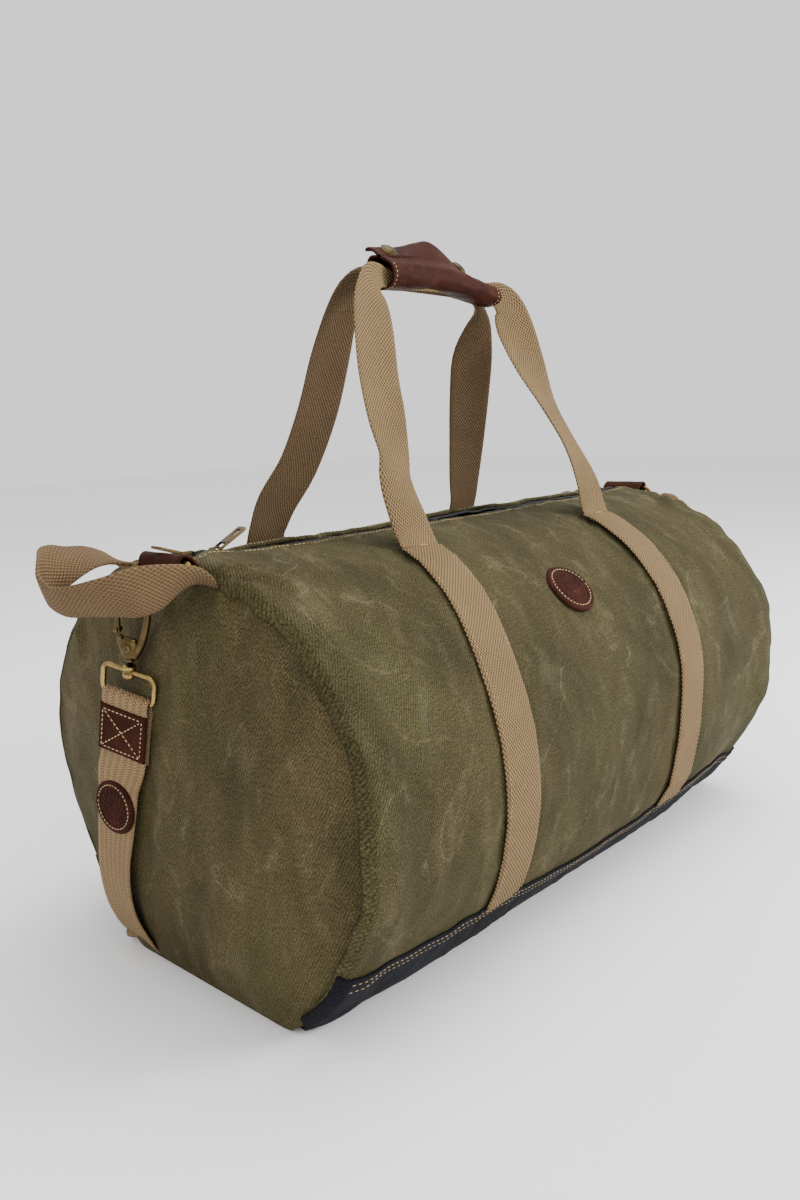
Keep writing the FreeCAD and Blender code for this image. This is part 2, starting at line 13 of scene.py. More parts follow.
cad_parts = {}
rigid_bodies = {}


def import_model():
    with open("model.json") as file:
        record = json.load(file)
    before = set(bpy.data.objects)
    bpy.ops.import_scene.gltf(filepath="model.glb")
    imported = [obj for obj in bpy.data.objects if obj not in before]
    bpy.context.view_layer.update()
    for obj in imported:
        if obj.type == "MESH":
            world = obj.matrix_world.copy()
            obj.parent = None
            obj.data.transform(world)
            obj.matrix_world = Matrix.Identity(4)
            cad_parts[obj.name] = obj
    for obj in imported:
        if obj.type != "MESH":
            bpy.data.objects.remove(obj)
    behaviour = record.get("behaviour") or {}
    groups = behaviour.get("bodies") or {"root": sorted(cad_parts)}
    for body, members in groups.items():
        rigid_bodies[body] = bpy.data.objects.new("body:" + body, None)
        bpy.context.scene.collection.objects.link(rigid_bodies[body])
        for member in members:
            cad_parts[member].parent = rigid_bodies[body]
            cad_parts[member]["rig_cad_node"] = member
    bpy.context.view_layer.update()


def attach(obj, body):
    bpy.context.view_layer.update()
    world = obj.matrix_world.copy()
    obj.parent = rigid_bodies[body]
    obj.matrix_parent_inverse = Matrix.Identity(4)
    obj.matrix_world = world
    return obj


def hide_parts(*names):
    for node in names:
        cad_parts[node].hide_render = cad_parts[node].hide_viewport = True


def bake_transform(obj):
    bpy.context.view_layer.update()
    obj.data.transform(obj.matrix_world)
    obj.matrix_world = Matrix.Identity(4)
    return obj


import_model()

FRONT, BACK = -1, 1
LEFT, RIGHT = -1, 1
SIDES = {FRONT: "front", BACK: "back"}
ENDS = {LEFT: "left", RIGHT: "right"}

MM = 0.001                  # metres in a millimetre
SEAM_X = 278.5
TOP_Z = 300.0
CROWN_R, SHOULDER_R, FLANK_R = 195.0, 133.0, 230.0
CROWN_TURN = 34.0
LIP_S = 13.0                # canvas edge beside the zip
HEM_S = 358.0               # upper edge of the base panel
HEM_TUCK = 20               # canvas that runs on under the base panel
ROOT_S = 63.0               # stitched root of each handle
STRAP_LINE = {              # middle of each handle's sewn webbing at five levels round the skin
    (FRONT, LEFT): (-110.0, -124.0, -136.0, -134.0, -124.0),
    (FRONT, RIGHT): (128.0, 121.0, 113.0, 109.0, 118.0),
    (BACK, LEFT): (-148.0, -148.0, -147.0, -146.0, -146.0),
    (BACK, RIGHT): (94.0, 94.0, 95.0, 96.0, 96.0),
}
STRAP_LEVELS = (63.0, 130.0, 195.0, 275.0, 358.0)
SEWN_LIFT = 1.7             # middle of the sewn webbing above the canvas
HANDLE_THICK, LOOP_THICK, STRAP_THICK = 2.6, 3.0, 2.3


# ---------------------------------------------------------------- numbers and surfaces

def lattice(i, j, seed):
    """Repeatable number from 0 to 1 for each whole-numbered point."""
    n = np.sin(i * 127.1 + j * 311.7 + seed * 74.7) * 43758.5453
    return n - np.floor(n)


def noise(u, v, seed):
    """Smooth noise from -1 to 1 with features one unit apart."""
    u, v = np.broadcast_arrays(np.asarray(u, float), np.asarray(v, float))
    i, j = np.floor(u), np.floor(v)
    a, b = u - i, v - j
    a, b = a * a * (3 - 2 * a), b * b * (3 - 2 * b)
    low = lattice(i, j, seed) * (1 - a) + lattice(i + 1, j, seed) * a
    high = lattice(i, j + 1, seed) * (1 - a) + lattice(i + 1, j + 1, seed) * a
    return 2 * (low * (1 - b) + high * b) - 1


def smooth(t):
    """Ease from 0 to 1 as t goes from 0 to 1."""
    t = np.clip(t, 0, 1)
    return t * t * (3 - 2 * t)


def bump(d, width):
    """1 where d is 0, fading out over width."""
    return np.exp(-(np.asarray(d, float) / width) ** 2)


def run_length(points):
    """Distance along a path up to each of its points."""
    return np.concatenate([[0], np.cumsum(np.linalg.norm(np.diff(points, axis=0), axis=1))])


def flat_run_length(points):
    """Distance along a path in a plane up to each of its points."""
    return np.concatenate([[0], np.cumsum(np.hypot(*np.diff(points, axis=0).T))])


def trace_outline():
    """Half the cross-section from the top centre to the middle of the floor, at 1 mm steps."""
    crown_z = TOP_Z - CROWN_R
    turn = math.radians(CROWN_TURN)
    step = CROWN_R - SHOULDER_R
    shoulder = (step * math.sin(turn), crown_z + step * math.cos(turn))
    flank = (shoulder[0] + SHOULDER_R - FLANK_R, shoulder[1])
    corner = math.degrees(math.acos(-flank[1] / FLANK_R))
    points = []
    for heading in np.arange(-20.0, corner, 0.1):
        h = math.radians(heading)
        if heading < CROWN_TURN:
            c, r = (0.0, crown_z), CROWN_R
        elif heading < 90.0:
            c, r = shoulder, SHOULDER_R
        else:
            c, r = flank, FLANK_R
        points.append((c[0] + r * math.sin(h), c[1] + r * math.cos(h)))
    last = points[-1][0]
    points += [(last * (1 - t), 0.0) for t in np.linspace(0, 1.4, 400)[1:]]
    points = np.array(points)
    s = flat_run_length(points)
    s -= np.interp(0.0, points[:, 0][:400], s[:400])
    even = np.arange(-60.0, 570.0, 1.0)
    y, z = np.interp(even, s, points[:, 0]), np.interp(even, s, points[:, 1])
    box = np.ones(25) / 25
    y, z = np.convolve(y, box, "same"), np.convolve(z, box, "same")
    dy, dz = np.gradient(y), np.gradient(z)
    long = np.hypot(dy, dz)
    keep = (even >= -30) & (even <= 545)
    return [a[keep] for a in (even, y, z, -dz / long, dy / long)]


OUTLINE = trace_outline()
FLOOR_S = float(np.interp(0.0, -OUTLINE[1][OUTLINE[0] > 430], OUTLINE[0][OUTLINE[0] > 430]))


def outline(s):
    """Width, height and outward normal of the plain cross-section at s."""
    return [np.interp(s, OUTLINE[0], OUTLINE[i]) for i in (1, 2, 3, 4)]


def strap_x(side, end, s):
    """Middle of a handle's sewn webbing at s round the skin."""
    s = np.asarray(s, float)
    steps = [np.interp(s + d, STRAP_LEVELS, STRAP_LINE[side, end]) for d in (-30, -18, -6, 6, 18, 30)]
    return sum(steps) / len(steps)


def hem_line(x, side):
    """Level of the base panel's wavy upper edge, lowest where the belly hangs over it."""
    x = np.asarray(x, float)
    wave = 2.0 * noise(x / 58, 0.3, 61 + side) + 0.7 * noise(x / 21, 0.7, 63 + side)
    return HEM_S - 4.0 + 10.5 * bump(x - 15, 150) - 9.0 * smooth((-x - 205) / 70) + wave


def cloth_folds(x, s, e, seed):
    """Sag and soft folds of the canvas; e is the distance to the nearer end seam."""
    d = 1.5 * noise(x / 120, s / 90, seed) + 0.9 * noise((x + 0.7 * s) / 60, (s - 0.7 * x) / 95, seed + 1)
    ridge = 1 - np.abs(noise((x + 0.5 * s) / 46, (s - 1.4 * x) / 120, seed + 2)) * 2
    d += 0.8 * np.clip(ridge, 0, 1) ** 2
    ridge = 1 - np.abs(noise((x - 0.8 * s) / 33, (s + 0.8 * x) / 80, seed + 3)) * 2.6
    d += 0.45 * np.clip(ridge, 0, 1) ** 2
    d += 0.22 * noise(x / 13, s / 11, seed + 4)
    d += 1.9 * np.exp(-e / 30) * noise(s / 15 + 0.4 * noise(s / 40, x / 30, 5), e / 45, seed + 5)
    return d


def strap_pull(x, s, side, end, seed):
    """Canvas pinched along one sewn strap: its dip, the rays from its root and its puckers, one by one."""
    middle = strap_x(side, end, s)
    off = np.abs(x - middle)
    on = smooth((s - ROOT_S + 12) / 12)
    yield -(on * 0.7 * bump(off - 21.5, 4.5))
    pull = np.exp(-np.clip(off - 19, 0, None) / 26) * np.exp(-((s - ROOT_S) / 45) ** 2)
    yield pull * 1.6 * noise(np.arctan2(s - ROOT_S, x - middle) * 3.1, off / 60, seed + 6)
    yield 0.5 * np.exp(-np.clip(off - 19, 0, None) / 16) * noise(s / 10, off / 30, seed + 7) * (off > 18)


def swell(x, s, side):
    """How far the canvas stands off the plain outline: sag, soft folds, puckers and roll of the ends."""
    x, s = np.broadcast_arrays(np.asarray(x, float), np.asarray(s, float))
    seed = 3 if side == FRONT else 17
    e = SEAM_X - np.abs(x)
    d = cloth_folds(x, s, e, seed)
    d += 3.2 * bump(e - 21, 15) - 6.0 * np.exp(-(e / 2.6) ** 2)
    d -= 5.0 * bump(x + 10, 165) * bump(s - 185, 75)
    d += 8.0 * bump(s - 240, 85) * np.exp(-(x + SEAM_X) / 80) * (side == BACK)
    for end in ENDS:
        for mark in strap_pull(x, s, side, end, seed):
            d += mark
    d += 0.45 * noise(x / 8.5, s / 30, seed + 8) * np.exp(-np.clip(s - LIP_S - 8, 0, None) / 9)
    d += 0.7 * noise(x / 14, s / 40, seed + 9) * np.exp(-np.abs(s - HEM_S) / 13)
    away = np.hypot(e, s - 50)
    fan = np.cos(9 * np.arctan2(s - 50, e) + 2 * noise(away / 50, 0.5, seed + 10))
    d += 1.3 * fan * smooth(away / 14) * np.exp(-((away - 30) / 42) ** 2) * smooth((s - 30) / 14)
    d += 2.2 * bump(s - 330, 26) * bump((np.abs(x) - 215) / 60, 1.0)
    d += 3.0 * bump(s - 345, 30) * bump(x - 15, 140)
    return d * (1 - smooth((s - 405) / 30))


def rounded(x, s):
    """Outline points and normals at x, pinched at the ends' lower corners."""
    y, z, ny, nz = outline(s)
    e = SEAM_X - np.abs(x)
    y = y * (1 - 0.14 * smooth((s - 290) / 120) * np.exp(-(e / 62) ** 1.5))
    z = z * (1 - 0.25 * smooth((s - 330) / 60) * np.exp(-(e / 40) ** 2))
    return y, z, ny, nz


def skin(x, s, side, lift=0.0):
    """Points on the canvas, x along the bag and s round from the top centre."""
    x, s = np.broadcast_arrays(np.asarray(x, float), np.asarray(s, float))
    y, z, ny, nz = rounded(x, s)
    d = swell(x, s, side) + lift
    return np.stack([x, side * (y + ny * d), np.maximum(z + nz * d, 0.0)], -1)


def skin_normal(x, s, side):
    """Outward normals of the plain outline at the same points."""
    s = np.broadcast_arrays(np.asarray(x, float), np.asarray(s, float))[1]
    ny, nz = outline(s)[2:]
    return np.stack([0 * ny, side * ny, nz], -1)


# ---------------------------------------------------------------- meshes

def make(name, verts, faces, material, uv=None):
    """Mesh object from points in millimetres; uv is one pair in metres for each point."""
    mesh = bpy.data.meshes.new(name)
    points = (np.asarray(verts, float) * MM).tolist()
    mesh.from_pydata(points, [], [tuple(int(i) for i in face) for face in faces])
    mesh.materials.append(material)
    if uv is not None:
        layer = mesh.uv_layers.new(name="UV")
        corner = np.empty(len(mesh.loops), np.int32)
        mesh.loops.foreach_get("vertex_index", corner)
        layer.data.foreach_set("uv", np.asarray(uv, np.float32)[corner].ravel())
    mesh.polygons.foreach_set("use_smooth", [True] * len(mesh.polygons))
    mesh.update()
    obj = bpy.data.objects.new(name, mesh)
    bpy.context.collection.objects.link(obj)
    return obj


def quads(rows, cols, close_rows=False, close_cols=False, start=0, turned=False):
    """Faces of a grid of points stored row by row."""
    r = np.arange(rows if close_rows else rows - 1)
    c = np.arange(cols if close_cols else cols - 1)
    r, c = [a.ravel() for a in np.meshgrid(r, c, indexing="ij")]
    r2, c2 = (r + 1) % rows, (c + 1) % cols
    f = np.stack([r * cols + c, r * cols + c2, r2 * cols + c2, r2 * cols + c], -1) + start
    return (f[:, ::-1] if turned else f).tolist()


def end_caps(rows, cols):
    """Faces that close the first and the last row of a tube of points."""
    return [tuple(range(cols)), tuple(reversed(range((rows - 1) * cols, rows * cols)))]


def shell(name, outer, inner, material, uv, turned=False):
    """Closed sheet between two grids of points."""
    rows, cols = outer.shape[:2]
    n = rows * cols
    verts = np.concatenate([outer.reshape(-1, 3), inner.reshape(-1, 3)])
    faces = quads(rows, cols, turned=turned) + quads(rows, cols, start=n, turned=not turned)
    edge = list(range(cols))
    edge += [r * cols + cols - 1 for r in range(1, rows)]
    edge += [(rows - 1) * cols + c for c in range(cols - 2, -1, -1)]
    edge += [r * cols for r in range(rows - 2, 0, -1)]
    for a, b in zip(edge, edge[1:] + edge[:1]):
        faces.append((b, a, a + n, b + n) if not turned else (a, b, b + n, a + n))
    both = np.concatenate([uv.reshape(-1, 2)] * 2)
    return make(name, verts, faces, material, both)


def catmull(values, per):
    """Smooth curve through a list of points, with per steps between each pair."""
    p = np.asarray(values, float)
    p = np.concatenate([[2 * p[0] - p[1]], p, [2 * p[-1] - p[-2]]])
    out = []
    for i in range(1, len(p) - 2):
        for t in np.arange(per) / per:
            out.append(0.5 * (2 * p[i] + (p[i + 1] - p[i - 1]) * t
                              + (2 * p[i - 1] - 5 * p[i] + 4 * p[i + 1] - p[i + 2]) * t * t
                              + (3 * p[i] - p[i - 1] - 3 * p[i + 1] + p[i + 2]) * t ** 3))
    out.append(p[-2])
    return np.array(out)


def unit(v):
    """Vectors scaled to length 1."""
    v = np.asarray(v, float)
    return v / np.maximum(np.linalg.norm(v, axis=-1, keepdims=True), 1e-9)


def steady(across):
    """Width directions with each one turned to the same side as the one before it."""
    out = [across[0]]
    for a in across[1:]:
        out.append(-a if np.dot(a, out[-1]) < 0 else a)
    return out


def pack(stations, per):
    """Smooth rows of point, width direction, width and cup through a strap's stations."""
    across = steady([unit(a) for c, a, w, k in stations])
    return catmull([[*c, *a, w, k] for a, (c, _, w, k) in zip(across, stations)], per)


def webbing(name, packed, thick, material, steps=12, inner=None, inner_shade_first=False):
    """Woven strap along packed rows of point, width direction, width and cup, which bows it across."""
    centre, across, width, cup = packed[:, :3], packed[:, 3:6], packed[:, 6], packed[:, 7]
    n = len(centre)
    tangent = unit(np.gradient(centre, axis=0))
    across = unit(across - (across * tangent).sum(-1, keepdims=True) * tangent)
    normal = np.cross(tangent, across)
    v = run_length(centre)
    u = np.sin(np.linspace(-1, 1, steps + 1) * math.pi / 2)
    rim = np.sqrt(np.clip(1 - np.abs(u) ** 8, 0, 1)) * (1 + 0.12 * bump(np.abs(u) - 0.86, 0.1))
    loop_u = np.concatenate([u, u[::-1][1:-1]])
    loop_h = np.concatenate([rim, -rim[::-1][1:-1]])
    bow = 1 - loop_u ** 2
    points = (centre[:, None] + across[:, None] * (loop_u[None, :, None] * width[:, None, None] / 2)
              + normal[:, None] * (loop_h[None, :, None] * thick / 2
                                   + bow[None, :, None] * cup[:, None, None]))
    cols = len(loop_u)
    verts = points.reshape(-1, 3)
    faces = quads(n, cols, close_cols=True) + end_caps(n, cols)
    uv = np.stack(np.broadcast_arrays(loop_u[None, :] * width[:, None] / 2, v[:, None]), -1) * MM
    obj = make(name, verts, faces, material, uv.reshape(-1, 2))
    # A second material, when given, goes on one face of the strap; the handles use it for a darker copy of
    # their webbing that paints shade on the inner face.
    if inner is not None:
        obj.data.materials.append(inner)
        for face in obj.data.polygons:
            if face.index < (n - 1) * cols:
                face.material_index = int((face.index % cols < steps) == inner_shade_first)
    fix_normals(obj)
    return obj


def fix_normals(obj):
    """Turns every face outwards."""
    b = bmesh.new()
    b.from_mesh(obj.data)
    bmesh.ops.recalc_face_normals(b, faces=b.faces)
    b.to_mesh(obj.data)
    b.free()
    return obj


def tube(name, path, radius, material, closed=False, sides=14):
    """Round wire along a path, with a radius at each point."""
    path = np.asarray(path, float)
    n = len(path)
    radius = np.broadcast_to(np.asarray(radius, float), (n,))
    if closed:
        tangent = unit(np.roll(path, -1, 0) - np.roll(path, 1, 0))
    else:
        tangent = unit(np.gradient(path, axis=0))
    ref = np.array([1.0, 0.0, 0.0])
    if np.abs(tangent @ ref).max() > 0.95:
        ref = np.array([0.12, 0.25, 1.0])
    a = unit(np.cross(tangent, ref))
    b = np.cross(tangent, a)
    turn = np.arange(sides) * 2 * math.pi / sides
    ring = a[:, None] * np.cos(turn)[None, :, None] + b[:, None] * np.sin(turn)[None, :, None]
    verts = (path[:, None] + ring * radius[:, None, None]).reshape(-1, 3)
    faces = quads(n, sides, close_rows=closed, close_cols=True)
    if not closed:
        faces += end_caps(n, sides)
    return fix_normals(make(name, verts, faces, material))


def lathe(name, profile, base, axis, material, sides=40):
    """Solid of revolution: profile of (radius, height) pairs about an axis through base."""
    axis = unit(axis)
    ref = np.array([1.0, 0, 0]) if abs(axis[0]) < 0.8 else np.array([0, 1.0, 0])
    a = unit(np.cross(axis, ref))
    b = np.cross(axis, a)
    turn = np.arange(sides) * 2 * math.pi / sides
    verts = [np.asarray(base, float) + axis * h + (a * math.cos(t) + b * math.sin(t)) * r
             for r, h in profile for t in turn]
    faces = quads(len(profile), sides, close_cols=True) + end_caps(len(profile), sides)
    return fix_normals(make(name, verts, faces, material))


def join(name, objs):
    """One object from several."""
    bpy.ops.object.select_all(action="DESELECT")
    for o in objs:
        o.select_set(True)
    bpy.context.view_layer.objects.active = objs[0]
    bpy.ops.object.join()
    objs[0].name = name
    return objs[0]


def stitches(name, rows, material, length=2.7, pitch=3.7, radius=0.42, sink=0.1):
    """Rows of separate stitches; a row is (points, normals) on the cloth, in order."""
    sides, rings = 6, ((0.0, 0.25), (0.16, 0.85), (0.5, 1.0), (0.84, 0.85), (1.0, 0.25))
    verts, faces = [], []
    for points, normals in rows:
        points, normals = np.asarray(points, float), np.asarray(normals, float)
        s = run_length(points)
        count = int(s[-1] / pitch)
        for k in range(count):
            at = (k + 0.5) * pitch
            ends = []
            for q in (at - length / 2, at, at + length / 2):
                ends.append(np.array([np.interp(q, s, points[:, i]) for i in range(3)]))
            up = unit(np.array([np.interp(at, s, normals[:, i]) for i in range(3)]))
            along = unit(ends[2] - ends[0])
            side = np.cross(along, up)
            base = len(verts)
            for t, r in rings:
                arch = radius * (0.9 * math.sin(math.pi * t) - 0.35) - sink
                c = ends[0] + (ends[2] - ends[0]) * t + up * arch
                for j in range(sides):
                    w = j * 2 * math.pi / sides
                    verts.append(c + side * (math.cos(w) * radius * r) + up * (math.sin(w) * radius * r))
            faces += quads(len(rings), sides, close_cols=True, start=base)
            faces.append(tuple(base + j for j in range(sides)))
            faces.append(tuple(base + (len(rings) - 1) * sides + j for j in reversed(range(sides))))
    return make(name, verts, faces, material)


# ---------------------------------------------------------------- materials

class Nodes:
    """Short names for building a node material."""

    def __init__(self, name):
        self.material = bpy.data.materials.new(name)
        self.material.use_nodes = True
        self.tree = self.material.node_tree
        self.surface = self.tree.nodes["Principled BSDF"]
        self.uv = self.add("ShaderNodeUVMap").outputs[0]
        self.point = self.add("ShaderNodeTexCoord").outputs["Object"]

    def add(self, kind, **values):
        node = self.tree.nodes.new(kind)
        for key, value in values.items():
            setattr(node, key, value)
        return node

    def put(self, value, socket):
        """Links a socket, or sets a colour or number, as the input's value."""
        if isinstance(value, bpy.types.NodeSocket):
            self.tree.links.new(value, socket)
        elif isinstance(value, tuple) and len(value) == 3 and socket.type == "RGBA":
            socket.default_value = (*value, 1.0)
        else:
            socket.default_value = value

    def math(self, kind, a, b=0.0, c=0.0):
        node = self.add("ShaderNodeMath", operation=kind)
        for i, value in enumerate((a, b, c)):
            self.put(value, node.inputs[i])
        return node.outputs[0]

    def times(self, a, b):
        return self.math("MULTIPLY", a, b)

    def plus(self, a, b):
        return self.math("ADD", a, b)

    def crease(self, value):
        """Distance of a noise from its middle level, which runs in thin crooked lines."""
        return self.math("ABSOLUTE", self.math("SUBTRACT", value, 0.5))

    def shaded(self, colour, level):
        """Colour times a level."""
        node = self.add("ShaderNodeVectorMath", operation="SCALE")
        self.put(colour, node.inputs[0])
        self.put(level, node.inputs["Scale"])
        return node.outputs[0]

    def noise(self, scale, detail=3.0, rough=0.55, at=None, stretch=(1, 1, 1), turn=0.0, warp=0.0):
        move = self.add("ShaderNodeMapping")
        self.put(self.uv if at is None else at, move.inputs["Vector"])
        move.inputs["Scale"].default_value = stretch
        move.inputs["Rotation"].default_value = (0, 0, turn)
        node = self.add("ShaderNodeTexNoise")
        self.put(move.outputs[0], node.inputs["Vector"])
        node.inputs["Scale"].default_value = scale
        node.inputs["Detail"].default_value = detail
        node.inputs["Roughness"].default_value = rough
        node.inputs["Distortion"].default_value = warp
        return node.outputs["Fac"]

    def span(self, value, low, high, to_low=0.0, to_high=1.0):
        """Maps low to high onto to_low to to_high."""
        node = self.add("ShaderNodeMapRange")
        self.put(value, node.inputs["Value"])
        limits = {"From Min": low, "From Max": high, "To Min": to_low, "To Max": to_high}
        for key, number in limits.items():
            node.inputs[key].default_value = number
        return node.outputs[0]

    def mix(self, share, a, b):
        node = self.add("ShaderNodeMix", data_type="RGBA")
        self.put(share, node.inputs["Factor"])
        self.put(a, node.inputs[6])
        self.put(b, node.inputs[7])
        return node.outputs[2]

    def axes(self):
        node = self.add("ShaderNodeSeparateXYZ")
        self.put(self.uv, node.inputs[0])
        return node.outputs[0], node.outputs[1]

    def wave(self, value, pitch):
        return self.math("SINE", self.times(value, 2 * math.pi / pitch))

    def bump(self, height, depth, before=None):
        node = self.add("ShaderNodeBump")
        node.inputs["Strength"].default_value = 1.0
        node.inputs["Distance"].default_value = depth
        self.put(height, node.inputs["Height"])
        if before is not None:
            self.put(before, node.inputs["Normal"])
        return node.outputs[0]

    def finish(self, colour, rough, normal=None, metal=0.0, spec=0.5):
        self.put(colour, self.surface.inputs["Base Color"])
        self.put(rough, self.surface.inputs["Roughness"])
        self.put(metal, self.surface.inputs["Metallic"])
        self.surface.inputs["Specular IOR Level"].default_value = spec
        if normal is not None:
            self.put(normal, self.surface.inputs["Normal"])
        return self.material


def scaled(colour, *shares):
    """Colour with each channel times its share, or all times one share."""
    return tuple(c * k for c, k in zip(colour, shares if len(shares) == 3 else shares * 3))


def canvas_colour(n, dark, mid, light, wear, seed):
    """Cloudy colour with pale rubbed creases; also gives the noise that the roughness follows."""
    long = (1, 0.5, 1)
    cloud = n.noise(15.0 + seed, 4.0, 0.6, stretch=long, warp=0.3)
    patch = n.noise(44.0 + seed, 5.0, 0.62, stretch=long, turn=0.25, warp=0.35)
    hue = n.noise(11.0 + seed, 3.0, 0.5, stretch=long, turn=-0.3)
    brown, green = scaled(mid, 1.05, 0.99, 1.03), scaled(mid, 0.97, 1.01, 0.96)
    colour = n.mix(n.span(hue, 0.4, 0.6), brown, green)
    colour = n.mix(n.span(cloud, 0.36, 0.60), dark, colour)
    colour = n.mix(n.span(patch, 0.52, 0.80, 0.0, 0.42 * wear), colour, light)
    line = n.crease(n.noise(15.0 + seed, 3.0, 0.5, stretch=(1, 0.7, 1), warp=0.8))
    rubbed = n.times(n.span(line, 0.0, 0.018, 1.0, 0.0), n.span(patch, 0.42, 0.62))
    colour = n.mix(n.times(rubbed, 0.34 * wear), colour, scaled(light, 1.25))
    fine = n.crease(n.noise(38.0 + seed, 3.0, 0.6, warp=0.9))
    hair = n.times(n.span(fine, 0.0, 0.014, 1.0, 0.0), n.span(cloud, 0.46, 0.62))
    return n.mix(n.times(hair, 0.20 * wear), colour, scaled(light, 1.2)), patch


def canvas(name, dark, mid, light, wear=1.0, seed=0.0):
    """Washed and waxed canvas: cloudy colour, pale rubbed creases, fine weave."""
    n = Nodes(name)
    u, v = n.axes()
    colour, patch = canvas_colour(n, dark, mid, light, wear, seed)
    grain = n.noise(1150.0, 1.0, 0.5, stretch=(1, 0.6, 1), turn=0.5)
    cross = n.noise(420.0, 2.0, 0.6, stretch=(0.35, 1, 1))
    speck = n.times(n.span(grain, 0.3, 0.7, 0.42, 1.58), n.span(cross, 0.3, 0.7, 0.88, 1.12))
    twill = n.wave(n.plus(u, n.times(v, 0.55)), 0.0021)
    weave = n.times(n.wave(u, 0.0015), n.wave(v, 0.0015))
    speck = n.times(speck, n.span(n.plus(weave, twill), -2, 2, 0.62, 1.40))
    normal = n.bump(n.plus(n.times(twill, 0.5), n.times(grain, 0.8)), 0.00016)
    normal = n.bump(n.noise(60.0, 3.0, 0.55, stretch=(1, 0.5, 1), warp=0.6), 0.0004, normal)
    rough = n.span(patch, 0.3, 0.7, 0.86, 0.72)
    return n.finish(n.shaded(colour, speck), rough, normal, spec=0.1)


def woven(name, dark, mid, light, chevron=False):
    """Cotton webbing with its ribs, seen as a fine basket weave or as chevrons."""
    n = Nodes(name)
    u, v = n.axes()
    if chevron:
        fold = n.math("PINGPONG", u, 0.0028)
        rib = n.wave(n.plus(v, n.times(fold, 0.8)), 0.0021)
        height = n.plus(rib, n.times(n.wave(fold, 0.0028), 0.45))
    else:
        a = n.wave(n.plus(u, n.times(v, 0.72)), 0.0026)
        b = n.wave(n.math("SUBTRACT", u, n.times(v, 0.72)), 0.0026)
        height = n.times(n.plus(a, b), 0.8)
    fuzz = n.noise(700.0, 2.0, 0.6)
    cloud = n.noise(30.0, 3.0, 0.6)
    colour = n.mix(n.span(height, -1.3, 0.6), dark, mid)
    colour = n.mix(n.times(n.span(height, 0.3, 1.5), 0.5), colour, light)
    level = n.times(n.span(fuzz, 0.3, 0.7, 0.9, 1.1), n.span(cloud, 0.3, 0.7, 0.92, 1.08))
    normal = n.bump(n.plus(height, n.times(fuzz, 0.5)), 0.00030)
    return n.finish(n.shaded(colour, level), 0.88, normal, spec=0.12)


def hide(name, dark, mid, shine=0.42):
    """Semi-matt leather with pores, scuffs and small creases."""
    n = Nodes(name)
    cloud = n.noise(45.0, 4.0, 0.6, at=n.point)
    pores = n.add("ShaderNodeTexVoronoi")
    n.put(n.point, pores.inputs["Vector"])
    pores.inputs["Scale"].default_value = 950.0
    crease = n.noise(160.0, 5.0, 0.7, at=n.point, warp=1.5)
    colour = n.mix(n.span(cloud, 0.35, 0.68), dark, mid)
    scuff = n.span(n.noise(90.0, 6.0, 0.75, at=n.point), 0.56, 0.72, 0.0, 0.35)
    colour = n.mix(scuff, colour, tuple(c * 1.7 + 0.01 for c in mid))
    normal = n.bump(pores.outputs["Distance"], 0.00012)
    normal = n.bump(crease, 0.0006, normal)
    rough = n.span(cloud, 0.3, 0.7, shine - 0.05, shine + 0.14)
    return n.finish(colour, rough, normal, spec=0.035)


def metal(name, dark, bright, rough=0.32, worn=0.5):
    """Antique plating: dark patina, rubbed bright in patches, and bright on the raised edges as rubbed wear
    together with a painted highlight.
    """
    n = Nodes(name)
    cloud = n.noise(140.0, 5.0, 0.65, at=n.point)
    edge = n.add("ShaderNodeNewGeometry").outputs["Pointiness"]
    # Raised edges (pointiness) are painted bright, partly as rubbed wear and partly as a painted highlight;
    # the cloud adds rubbed patches.
    rub_and_glint = n.plus(n.span(edge, 0.49, 0.56, 0.0, 0.8), n.span(cloud, 0.42, 0.68, 0.0, worn))
    clamp = n.add("ShaderNodeClamp")
    n.put(rub_and_glint, clamp.inputs[0])
    colour = n.mix(clamp.outputs[0], dark, bright)
    normal = n.bump(n.noise(600.0, 3.0, 0.6, at=n.point), 0.00006)
    return n.finish(colour, n.span(cloud, 0.3, 0.7, rough + 0.12, rough - 0.04), normal, metal=1.0)


def plain(name, colour, rough, grain=0.0003, scale=500.0):
    """One colour with a fine speckle in its shade, gloss and height."""
    n = Nodes(name)
    spot = n.noise(scale, 3.0, 0.6, at=n.point)
    tint = n.mix(n.span(spot, 0.3, 0.7), scaled(colour, 0.7), scaled(colour, 1.3))
    return n.finish(tint, n.span(spot, 0.3, 0.7, rough + 0.06, rough - 0.06), n.bump(spot, grain), spec=0.25)


OLIVE = canvas("olive_canvas", (0.031, 0.0262, 0.0102), (0.047, 0.0398, 0.0160), (0.105, 0.092, 0.046))
OLIVE_END = canvas("olive_canvas_end", (0.040, 0.0325, 0.0135), (0.062, 0.0505, 0.0215),
                   (0.118, 0.100, 0.052), 0.9, 1.7)
CHARCOAL = canvas("charcoal_canvas", (0.0035, 0.0038, 0.0055), (0.0065, 0.0070, 0.0100),
                  (0.014, 0.0148, 0.0190), 0.7, 3.1)
WEB = woven("tan_webbing", (0.074, 0.044, 0.019), (0.205, 0.137, 0.067), (0.30, 0.212, 0.114))
# Darker copy of the tan webbing for the handles' inner faces: painted shade, not a different webbing.
WEB_INNER_SHADE = woven("tan_webbing_inner_painted_shade", (0.080, 0.049, 0.024), (0.102, 0.065, 0.034), (0.135, 0.090, 0.050))
